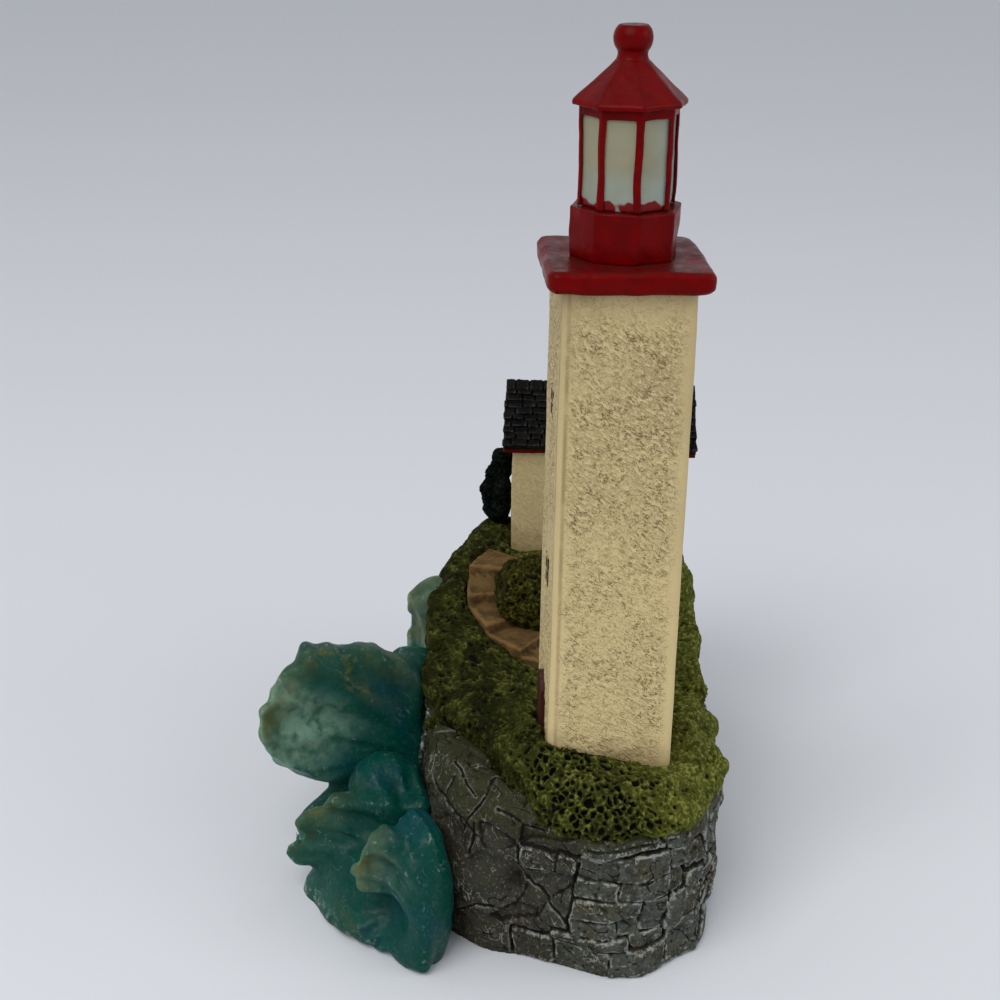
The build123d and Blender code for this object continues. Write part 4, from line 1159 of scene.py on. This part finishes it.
class LIGHTHOUSE_OT_waves(bpy.types.Operator):
    """Cast the waves in clear resin"""

    bl_idname = "lighthouse.waves"
    bl_label = "Waves"

    mould_grain = 0.7 * MM
    cliff_face = -27.5
    # Height of each block of swell, of the rolled swell at the cliff, and how far it runs out
    swells = {"lower_wave": 12.0, "upper_wave": 20.0, "rear_wave": 14.0}
    swell_level = 12.5
    swell_reach = 23.0
    # Rims of the crests, drawn in or out by a length at each angle
    lobe_rim = ((-14, 4.0), (-4, 2.5), (8, 0.6), (20, 0.0), (36, -1.4))
    leaf_rim = ((-45, -1.0), (-20, -1.6), (0, -3.0), (30, -3.0), (60, -2.2), (80, 0.0))
    tall_rim = ((-36, 8.0), (-22, 15.0), (-12, 14.6), (0, 8.2), (11, 6.0), (18, 2.6), (24, 0.9))
    tall_rim += ((32, -0.6), (50, 0.2), (68, 3.0))
    rear_rim = ((0, 0.0), (90, 0.0))
    crests = {
        "lower_wave": (
            Fan((22.0, cliff_face, 8.0), 3.0, 23.5, lobe_rim, 0.8, (-20, 30), 0.08, (18, 45), 0.7),
            Fan((36.0, cliff_face, 11.0), 20.0, 16.0, leaf_rim, 0.2, (-10, 50), 0.35, (-10, 45), 0.7),
        ),
        "upper_wave": (
            Fan((4.0, cliff_face, 18.0), 20.0, 29.0, tall_rim, 1.2, (-18, 36), 0.85, (-14, 8), 0.6),
        ),
        "rear_wave": (
            Fan((-20.0, cliff_face, 18.0), 12.0, 12.0, rear_rim, 0.5, (10, 120), 0.6, (0, 120), 0.95),
        ),
    }
    # Shares of the way to the rim where the pale and the gold tint start and are full
    pale_span = (0.36, 0.72)
    gold_span = (0.60, 0.95)
    # Further tints, of every rim and of the tall crest: angles, strength, where it starts and is full
    rim_gold = ((-40, 90), 0.45, 0.86, 1.0)
    tall_gold = ((46, 100), 0.36, 0.25, 0.65)
    tall_pale = ((-36, -16), 0.6, 0.45, 0.9)
    # Rounded folds joined to each wave: middle, half sizes and tilt about X
    folds = {
        "lower_wave": (
            ((17.0, -34.5, 12.5), (7.0, 8.0, 11.8), 0),
            ((40.5, -28.5, 10.0), (5.0, 5.4, 14.0), 0),
        ),
        "upper_wave": (
            ((-4.0, -29.5, 27.0), (5.5, 6.5, 6.6), 0),
            ((-4.5, -29.0, 18.0), (8.0, 7.0, 11.0), 0),
        ),
        "rear_wave": (
            ((-21.0, -24.5, 34.4), (7.0, 6.5, 5.2), 39),
            ((-21.5, -25.4, 23.0), (10.0, 4.3, 12.0), 0),
        ),
    }
    # Yellowed vein in the tall crest, by its distance out and its height
    vein = ((21.2, 39.4), (18.0, 40.7), (14.6, 38.7), (15.1, 35.8), (14.7, 33.6), (11.2, 31.2))
    # Hollow under the lip of the front crest: middle, half sizes, the way it is pressed in and how far
    hollow_place = (43.0, -36.0, 7.5)
    hollow_size = (6.0, 3.6, 4.0)
    hollow_way = np.array([-0.85, 0.5, 0.0])
    hollow_depth = 5.6
    # Resin as thick as this shows its full colour
    full_depth = 14.0

    def execute(self, context):
        sizes = context.scene.lighthouse_relief
        finish = sea_finish(context.scene.lighthouse_paint)
        for node, fans in self.crests.items():
            domes = [self.dome(*fold) for fold in self.folds[node]]
            skin = Skin(cast(nodes_of(node) + domes, self.mould_grain)).smooth(14)
            skin = skin.fresh(sizes.wave_grain).smooth(2)
            for dome in domes:
                bpy.data.meshes.remove(dome)
            self.roll(skin, node, fans)
            for fan in fans:
                self.spread(skin, fan, sizes.wave_ripple / MM)
            self.flute(skin)
            if node == "rear_wave":
                self.draw_in(skin)
            if node == "lower_wave":
                self.scoop(skin)
            skin = skin.fresh(sizes.wave_grain).smooth(1)
            skin.push(0.22 * roughness(skin.points, 3.5, 211) + 0.06 * roughness(skin.points, 1.0, 215))
            skin.points[:, 2] = np.maximum(skin.points[:, 2], 0.0)
            skin.keep_bend(1)
            skin.keep("thick", self.thickness(skin))
            pale = [fan.tint(skin.points, fan.pale_angles, fan.pale, *self.pale_span) for fan in fans]
            gold = [fan.tint(skin.points, fan.gold_angles, fan.gold, *self.gold_span) for fan in fans]
            gold += [fan.tint(skin.points, *self.rim_gold) for fan in fans]
            vein = np.zeros(skin.count)
            if node == "upper_wave":
                gold.append(fans[0].tint(skin.points, *self.tall_gold))
                pale.append(fans[0].tint(skin.points, *self.tall_pale))
                vein = self.veined(skin.points, fans[0])
            skin.keep("pale", np.max(pale, axis=0))
            skin.keep("gold", np.max(gold, axis=0))
            skin.keep("vein", vein)
            skin.piece(f"{node}_resin", "sea_resin", [node], finish)
        return {"FINISHED"}

    def dome(self, middle, half, tilt):
        """Rounded fold of water."""
        form = bmesh.new()
        place = Matrix.Translation(Vector(middle) * MM) @ Matrix.Rotation(math.radians(tilt), 4, "X")
        place = place @ Matrix.Diagonal((*(side * MM for side in half), 1.0))
        bmesh.ops.create_icosphere(form, subdivisions=3, radius=1.0, matrix=place)
        mesh = bpy.data.meshes.new("dome")
        form.to_mesh(mesh)
        form.free()
        return mesh

    def roll(self, skin, node, fans):
        """Rolls the swell over to a low scalloped edge, away from the crests, and laps its ends."""
        x, y, z = skin.points.T
        out = np.maximum(self.cliff_face - y, 0.0)
        away = np.ones(skin.count)
        for fan in fans:
            away *= 1 - np.exp(-((fan.polar(skin.points)[1] / 6.5) ** 2))
        share = np.clip(out / self.swell_reach, 0, 1)
        level = self.swell_level * (1 - 0.5 * share**2) + 1.2 * lumps(flat(x, y), 7.0, 221)
        height = self.swells[node]
        low = ease(1.5 * height, height, z)
        away *= low
        scallop = (0.06 + 0.06 * np.sin(x / 2.4)) * ease(30.0, 22.0, x) + 0.22 * (z / height) ** 2
        middle = (x.min() + x.max()) / 2
        aside = np.abs(x - middle) / (x.max() - middle)
        lap = np.sign(x - middle) * ease(0.86, 1.0, aside) * ease(40.0, 30.0, x)
        front = ease(26.0, 31.0, x) * ease(45.0, 39.0, x) * ease(8.0, 2.0, z) * ease(6.0, 12.0, out)
        corner = ease(0.6, 1.0, aside) * ease(40.0, 30.0, x)
        skin.points[:, 1] += (away * scallop + 0.13 * corner * low) * out - 1.7 * front
        skin.points[:, 2] *= 1 + away * (level / height - 1)
        skin.points[:, 0] += 1.3 * lap * low + 1.0 * front

    def spread(self, skin, fan, height):
        """Draws a crest's rim to its outline, thick at the root, with fanned folds and a ruffled edge."""
        out, side, angle, radius = fan.polar(skin.points)
        share = radius / fan.reach
        near = np.exp(-((side / 7.0) ** 2)) * ease(-1.0, 3.0, out)
        weight = ease(0.15, 0.6, share) * near
        rim = ease(0.5, 1.0, share) * weight
        wander = lumps(skin.points, 6.0, 201)
        ragged = lumps(flat(angle * 3.2 + 0.3 * wander), 1.0, 205)
        ragged += 0.7 * lumps(flat(angle * 8.0), 1.0, 206) + 0.5 * lumps(flat(angle * 17.0), 1.0, 207)
        drawn = np.interp(np.degrees(angle), *zip(*fan.rim)) * ease(0.35, 0.9, share) * near
        radial = fan.outward() * (out / np.maximum(radius, 0.1))[:, None]
        radial[:, 2] = np.sin(angle)
        skin.points += radial * (drawn + fan.ragged * rim * ragged)[:, None]
        ruffle = 1.1 * fan.ragged * rim * np.sin(7.0 * angle + 2.0 * wander)
        flare = 1.8 * np.tanh(side / 2.0) * near * np.exp(-((share / 0.4) ** 2))
        skin.points += fan.across() * (ruffle + flare)[:, None]
        fold = lumps(flat(angle * 6.0 + 0.5 * wander, radius / 11.0), 1.0, 208)
        fold += 0.6 * lumps(flat(angle * 15.0 + 0.5 * wander, radius / 7.0), 1.0, 209)
        skin.push(weight * height * 1.4 * fold)

    def flute(self, skin):
        """Upright folds in the water behind the tall crest."""
        x, y, z = skin.points.T
        fold = lumps(flat(x / 3.4 + 0.05 * z, y / 12.0, z / 18.0), 1.0, 261)
        fold += 0.5 * lumps(flat(x / 1.7, y / 9.0, z / 12.0), 1.0, 262)
        skin.push(1.3 * fold * ease(9.0, 16.0, z) * ease(1.0, -4.0, x))

    def draw_in(self, skin):
        """Draws the rear crest in against the bank."""
        _, y, z = skin.points.T
        out = np.maximum(self.cliff_face - y, 0.0)
        skin.points[:, 1] += 0.55 * out * ease(12.0, 24.0, z) * ease(36.0, 31.0, z)

    def scoop(self, skin):
        """Hollows the lower wave out under the lip of its front crest."""
        reached = (skin.points - self.hollow_place) / self.hollow_size
        near = np.exp(-np.sum(reached**2, axis=1))
        skin.points += self.hollow_way * (self.hollow_depth * near)[:, None]

    def veined(self, points, fan):
        """How near each point is to the yellowed vein, from 0 to 1."""
        out, side, _, _ = fan.polar(points)
        wander = 1.1 * roughness(points, 1.8, 231, 2)
        gap = to_paths(np.stack([out + wander, points[:, 2] - wander], axis=1), [self.vein])
        return 0.9 * ease(1.2, 0.1, gap) * ease(-3.0, 0.0, side)

    def thickness(self, skin):
        """How thick the resin is behind each point, from 0 to 1."""
        normals = skin.normals()
        faces = [polygon.vertices[:] for polygon in skin.mesh.polygons]
        tree = BVHTree.FromPolygons(skin.points.tolist(), faces)
        depth = np.full(skin.count, self.full_depth)
        for index, (point, normal) in enumerate(zip(skin.points, normals)):
            inward = Vector(-normal)
            hit = tree.ray_cast(Vector(point) + inward * 0.05, inward, self.full_depth)[3]
            if hit is not None:
                depth[index] = hit
        for _ in range(6):
            depth = 0.5 * depth + 0.5 * skin.mean(depth)
        return depth / self.full_depth


class LIGHTHOUSE_OT_plaster(bpy.types.Operator):
    """Trowel the plaster on the tower and the cottage"""

    bl_idname = "lighthouse.plaster"
    bl_label = "Plaster"

    # How roughly each building is plastered and how pale its foot is painted, as painted light: paler above
    # 1, darker below 1
    buildings = {"tower_shaft": (1.0, 1.24), "cottage_walls": (0.25, 0.88)}
    tenon_depth = 8.0 * MM

    def execute(self, context):
        sizes = context.scene.lighthouse_relief
        for node, (strength, pale) in self.buildings.items():
            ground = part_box(node)[0].z + self.tenon_depth
            finish = plaster_finish(context.scene.lighthouse_paint, ground, pale)
            skin = Skin(cast(nodes_of(node), sizes.plaster_grain)).smooth(2)
            self.trowel(skin, sizes, strength, *box_of(node))
            skin.keep_bend(1)
            skin.piece(f"{node}_plaster", "plaster", [node], finish)
        return {"FINISHED"}

    def trowel(self, skin, sizes, strength, low, high):
        """Slanting strokes and hand-made unevenness, smoother along the edges and under the top."""
        points = skin.points
        normals = skin.normals()
        edges = np.sort(np.minimum(points - low, high - points)[:, :2], axis=1)
        to_edge = edges[:, 1] + 0.9 * lumps(points, 4.0, 308)
        to_top = high[2] - points[:, 2] + 2.0 * lumps(points, 5.0, 307)
        rough = (0.6 + 0.4 * ease(-0.5, 0.2, lumps(points, 7.0, 309))) * ease(0.7, 3.2, to_edge)
        rough *= strength * (0.3 + 0.7 * ease(1.0, 7.0, to_top))
        across = np.where(np.abs(normals[:, 0]) > np.abs(normals[:, 1]), points[:, 1], points[:, 0] + 90.0)
        tilt = math.radians(40)
        long_way = across * math.cos(tilt) - points[:, 2] * math.sin(tilt)
        short_way = across * math.sin(tilt) + points[:, 2] * math.cos(tilt)
        stroke = sizes.plaster_stroke / MM
        wander = 0.6 * lumps(points, 1.6, 301)
        laid = flat(long_way / stroke + wander, short_way / (0.6 * stroke) + wander)
        strokes = ease(-0.35, 0.45, lumps(laid, 1.0, 305)) - 0.5
        strokes += 0.6 * ease(-0.3, 0.3, lumps(points, 0.55, 306)) - 0.3
        uneven = 0.18 * roughness(points, 14.0, 321)
        skin.push(uneven + sizes.plaster_depth / MM * rough * strokes, normals)
        skin.keep("rough", rough)
        skin.keep("corner", np.hypot(edges[:, 0], edges[:, 1]))


class LIGHTHOUSE_OT_lantern(bpy.types.Operator):
    """Paint the deck, the lantern and the red trim"""

    bl_idname = "lighthouse.lantern"
    bl_label = "Deck and lantern"

    # Mesh spacing in millimetres, rounds of softening and share of the wobble for each casting
    castings = {
        "gallery_deck": (0.24, 2, 1.2),
        "lantern_pedestal": (0.18, 4, 1.2),
        "lantern_frame": (0.14, 3, 1.1),
        "lantern_roof": (0.18, 7, 0.9),
        "roof_finial": (0.14, 6, 0.6),
        "eaves_trim": (0.20, 2, 0.6),
    }
    pane_casting = (0.2, 3, 0.6)
    # Rise of the roof round the finial, height of the finial's neck and the share by which it is filled out
    flare_rise = 0.4
    neck_height = 3.2
    neck_growth = 0.15

    def execute(self, context):
        sizes = context.scene.lighthouse_relief
        paint = context.scene.lighthouse_paint
        red = enamel_finish(paint)
        for node, (voxel, rounds, share) in self.castings.items():
            skin = Skin(cast(nodes_of(node), voxel * MM)).smooth(rounds)
            if node == "lantern_roof":
                self.flare(skin)
            if node == "roof_finial":
                self.thicken(skin)
            self.wobble(skin, share * sizes.paint_wobble / MM)
            skin.keep_bend(3)
            skin.piece(f"{node}_red", "red_paint", [node], red)
        low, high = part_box("lantern_frame")
        voxel, rounds, share = self.pane_casting
        skin = Skin(cast(nodes_of("lantern_core"), voxel * MM)).smooth(rounds)
        self.wobble(skin, share * sizes.paint_wobble / MM)
        skin.piece("lantern_panes", "lantern_pane", ["lantern_core"], pane_finish(paint, low.z, high.z))
        return {"FINISHED"}

    def flare(self, skin):
        """Runs the top of the roof up round the neck of the finial."""
        low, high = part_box("roof_finial")
        middle = np.array([low.x + high.x, low.y + high.y]) / 2 / MM
        radius = np.linalg.norm(skin.points[:, :2] - middle, axis=1)
        neck = (high.x - low.x) / 2 / MM * 0.72
        upper = ease(-6.0, -2.5, skin.points[:, 2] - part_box("lantern_roof")[1].z / MM)
        ring = np.exp(-(((radius - neck) / 0.6) ** 2))
        skin.points[:, 2] += self.flare_rise * upper * ring

    def thicken(self, skin):
        """Fills out the neck of the finial."""
        low, high = box_of("roof_finial")
        neck = np.exp(-((skin.points[:, 2] - low[2] - self.neck_height) ** 2))
        aside = (skin.points - (low + high) / 2)[:, :2]
        skin.points[:, :2] += self.neck_growth * neck[:, None] * aside

    def wobble(self, skin, reach):
        """Hand-made unevenness of a small casting and the ripple of the brush."""
        stray = np.stack([roughness(skin.points, 5.0, 401 + 7 * axis, 2) for axis in range(3)], axis=1)
        skin.points += 1.6 * reach * stray
        skin.push(0.25 * reach * roughness(skin.points, 1.5, 431))
        skin.keep("up", skin.normals()[:, 2])


class LIGHTHOUSE_OT_shingles(bpy.types.Operator):
    """Shingle the cottage roof and cap its ridge"""

    bl_idname = "lighthouse.shingles"
    bl_label = "Shingles"

    mould_grain = 0.16 * MM
    # Roof boards: height of the ridge, length of a slope and of the ridge, thickness and pitch
    ridge = 71.84
    slope = 12.8
    span = 35.8
    boards = 1.1
    pitch = math.radians(38)
    # Rows of shingles on a slope, their usual width and the depth of the notches in the ridge cap
    rows = 9
    wide = 2.6
    notch = 0.22

    def execute(self, context):
        finish = slate_finish(context.scene.lighthouse_paint)
        shingles = self.lay(context.scene.lighthouse_relief.shingle_lift / MM)
        for node, extra in (("cottage_roof", [shingles]), ("ridge_cap", [])):
            skin = Skin(cast(nodes_of(node) + extra, self.mould_grain)).smooth(2)
            seam = np.abs(skin.points @ cottage_axes()[1] / self.wide % 1.0 - 0.5)
            notch = self.notch * ease(0.40, 0.48, seam) if node == "ridge_cap" else 0.0
            skin.push(0.10 * roughness(skin.points, 1.6, 501) - notch)
            skin.keep_bend(2)
            skin.piece(f"{node}_slate", "slate", [node], finish)
        bpy.data.meshes.remove(shingles)
        return {"FINISHED"}

    def lay(self, lift):
        """Uneven shingles in staggered rows on both slopes."""
        across, along, middle = cottage_axes()
        rise = np.array([0.0, 0.0, 1.0])
        pick = np.random.default_rng(7)
        step = self.slope / self.rows
        centres = []
        halves = []
        for side in (1, -1):
            up_slope = -side * math.cos(self.pitch) * across + math.sin(self.pitch) * rise
            out = side * math.sin(self.pitch) * across + math.cos(self.pitch) * rise
            for row in range(self.rows):
                place = -self.span / 2 - self.wide * pick.uniform(0.2, 0.9)
                verge = self.span / 2 + pick.uniform(-0.1, 0.45)
                while place < self.span / 2 - 0.5:
                    wide = self.wide * pick.uniform(0.75, 1.3)
                    start = max(place, -verge)
                    end = min(place + wide, verge)
                    place += wide
                    if end - start < 0.8:
                        continue
                    down = self.slope - (row + 0.45 + pick.uniform(-0.12, 0.12)) * step
                    spot = middle + self.ridge * rise - up_slope * down + along * (start + end) / 2
                    centres.append(spot + out * (self.boards + 0.34 + lift * pick.uniform(-1, 1)))
                    lean = pick.uniform(0.30, 0.46)
                    halves.append(
                        (
                            (up_slope - lean * out) * step * 0.58,
                            along * ((end - start) / 2 - 0.20) + out * pick.uniform(-0.06, 0.06),
                            out * 0.30,
                        )
                    )
        return slabs("shingles", np.array(centres), np.array(halves))


class LIGHTHOUSE_OT_openings(bpy.types.Operator):
    """Fit the doors and windows"""

    bl_idname = "lighthouse.openings"
    bl_label = "Doors and windows"

    mould_grain = 0.14 * MM
    # Boards of a door and the depth of the grooves between them
    boards = 4
    groove = 0.22
    # Pane, then frame and bars: place, width and height as shares of the opening, how proud, share of depth
    bars = [(0, 0, 0.9, 0.94, 0, 0.8)]
    bars += [(side, 0, 0.12, 1, 0.35, 1) for side in (-0.88, 0.88)]
    bars += [(0, side, 1, 0.08, 0.35, 1) for side in (-0.92, 0, 0.92)]
    bars += [(0, 0, 0.08, 1, 0.30, 1)]

    def execute(self, context):
        paint = context.scene.lighthouse_paint
        timber = timber_finish(paint)
        pane = glass_finish(paint)
        sash = sash_finish(paint)
        for node in ("tower_door", "cottage_door"):
            skin = Skin(cast(nodes_of(node), self.mould_grain)).smooth(1)
            low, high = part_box(node)
            board = (high.x - low.x) / MM / self.boards
            seam = np.abs((skin.points[:, 0] - low.x / MM) / board % 1.0 - 0.5)
            skin.push(-self.groove * ease(0.40, 0.5, seam))
            skin.piece(f"{node}_boards", "brown_paint", [node], timber)
        plumb = np.array([0.0, 0.0, 1.0])
        self.glaze("tower_windows", np.array([1.0, 0.0, 0.0]), plumb, pane, sash)
        self.glaze("cottage_windows", cottage_axes()[0], plumb, pane, sash)
        return {"FINISHED"}

    def glaze(self, node, across, up, pane, sash):
        """Dark panes with a cream frame and glazing bars."""
        out = np.cross(across, up)
        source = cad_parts[node].data
        points = np.array([vertex.co for vertex in source.vertices]) / MM
        centres = []
        halves = []
        finishes = []
        for group in islands(source):
            spread = np.stack([points[group] @ axis for axis in (across, up, out)])
            middle = (spread.min(axis=1) + spread.max(axis=1)) / 2
            half = (spread.max(axis=1) - spread.min(axis=1)) / 2
            for x, z, wide, high, proud, deep in self.bars:
                place = middle + half * np.array([x, z, 0.0]) + np.array([0, 0, proud])
                centres.append(place[0] * across + place[1] * up + place[2] * out)
                halves.append((wide * half[0] * across, high * half[1] * up, deep * half[2] * out))
                finishes.append(1 if proud else 0)
        mesh = slabs(f"{node}_glazing", np.array(centres), np.array(halves))
        body = show_piece(f"{node}_glazing", mesh, "dark_pane", [node], pane, sash)
        body.data.polygons.foreach_set("material_index", np.repeat(finishes, 6))
        body.data.shade_flat()


class LIGHTHOUSE_OT_pad(bpy.types.Operator):
    """Felt the pad under the cliff"""

    bl_idname = "lighthouse.pad"
    bl_label = "Felt pad"

    def execute(self, context):
        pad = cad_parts["base_pad"].data
        pad.materials.clear()
        pad.materials.append(felt_finish(context.scene.lighthouse_paint))
        return {"FINISHED"}


class LIGHTHOUSE_OT_stage(bpy.types.Operator):
    """Set the floor, the soft light and the camera"""

    bl_idname = "lighthouse.stage"
    bl_label = "Stage"

    # Lamps: place, side and the setting of the power, all aimed at one point
    lamps = {
        "key_light": ((0.45, -0.35, 0.75), 0.55, "key_power"),
        "fill_light": ((0.25, 0.65, 0.40), 0.50, "fill_power"),
    }
    aim = (0, 0, 0.06)
    room_colour = (0.93, 0.96, 1.0, 1.0)
    sensor_width = 36.0
    nearest = 0.01

    def execute(self, context):
        scene = context.scene
        stage = scene.lighthouse_stage
        scene.view_settings.view_transform = "Standard"
        self.floor(stage)
        self.room(scene, stage)
        for name, (place, side, power_setting) in self.lamps.items():
            self.lamp(name, place, side, getattr(stage, power_setting))
        lens = bpy.data.cameras.new("camera")
        lens.lens = stage.camera_lens
        lens.sensor_width = self.sensor_width
        lens.clip_start = self.nearest
        camera = bpy.data.objects.new("camera", lens)
        camera.location = stage.camera_place
        camera.rotation_euler = stage.camera_turn
        scene.collection.objects.link(camera)
        scene.camera = camera
        return {"FINISHED"}

    def floor(self, stage):
        """Pale floor under the ornament."""
        half = stage.floor_size / 2
        corners = [(-half, -half, 0), (half, -half, 0), (half, half, 0), (-half, half, 0)]
        mesh = bpy.data.meshes.new("floor")
        mesh.from_pydata(corners, [], [(0, 1, 2, 3)])
        finish = Finish("floor")
        finish.body = stage.floor
        mesh.materials.append(finish.surface(Roughness=0.7, Specular_IOR_Level=0.2))
        floor = bpy.data.objects.new("floor", mesh)
        bpy.context.scene.collection.objects.link(floor)

    def room(self, scene, stage):
        """Even pale light from all round."""
        world = bpy.data.worlds.new("room")
        world.use_nodes = True
        light = world.node_tree.nodes["Background"]
        light.inputs["Color"].default_value = self.room_colour
        light.inputs["Strength"].default_value = stage.sky
        scene.world = world

    def lamp(self, name, place, side, watts):
        """Large square lamp aimed at the ornament."""
        lamp = bpy.data.lights.new(name, "AREA")
        lamp.size = side
        lamp.energy = watts
        body = bpy.data.objects.new(name, lamp)
        body.location = place
        body.rotation_euler = (Vector(self.aim) - Vector(place)).to_track_quat("-Z", "Y").to_euler()
        bpy.context.scene.collection.objects.link(body)


operators = (
    LIGHTHOUSE_OT_cliff,
    LIGHTHOUSE_OT_turf,
    LIGHTHOUSE_OT_bushes,
    LIGHTHOUSE_OT_path,
    LIGHTHOUSE_OT_waves,
    LIGHTHOUSE_OT_plaster,
    LIGHTHOUSE_OT_lantern,
    LIGHTHOUSE_OT_shingles,
    LIGHTHOUSE_OT_openings,
    LIGHTHOUSE_OT_pad,
    LIGHTHOUSE_OT_stage,
)


class LIGHTHOUSE_PT_panel(bpy.types.Panel):
    """Pieces of the ornament and the stage"""

    bl_idname = "LIGHTHOUSE_PT_panel"
    bl_label = "Lighthouse"
    bl_space_type = "VIEW_3D"
    bl_region_type = "UI"
    bl_category = "Lighthouse"

    def draw(self, context):
        for operator in operators:
            self.layout.operator(operator.bl_idname)


settings = {
    "lighthouse_relief": LighthouseRelief,
    "lighthouse_paint": LighthousePaint,
    "lighthouse_stage": LighthouseStage,
}
classes = (*settings.values(), *operators, LIGHTHOUSE_PT_panel)


def register():
    """Registers the classes and hangs the settings on the scene."""
    for entry in classes:
        bpy.utils.register_class(entry)
    for name, group in settings.items():
        setattr(bpy.types.Scene, name, bpy.props.PointerProperty(type=group))


def unregister():
    """Takes the settings and classes away again."""
    for name in settings:
        delattr(bpy.types.Scene, name)
    for entry in reversed(classes):
        bpy.utils.unregister_class(entry)


def main():
    """Makes every piece in order."""
    register()
    for operator in operators:
        family, name = operator.bl_idname.split(".")
        getattr(getattr(bpy.ops, family), name)()
    bpy.context.view_layer.update()


if __name__ == "__main__":
    main()
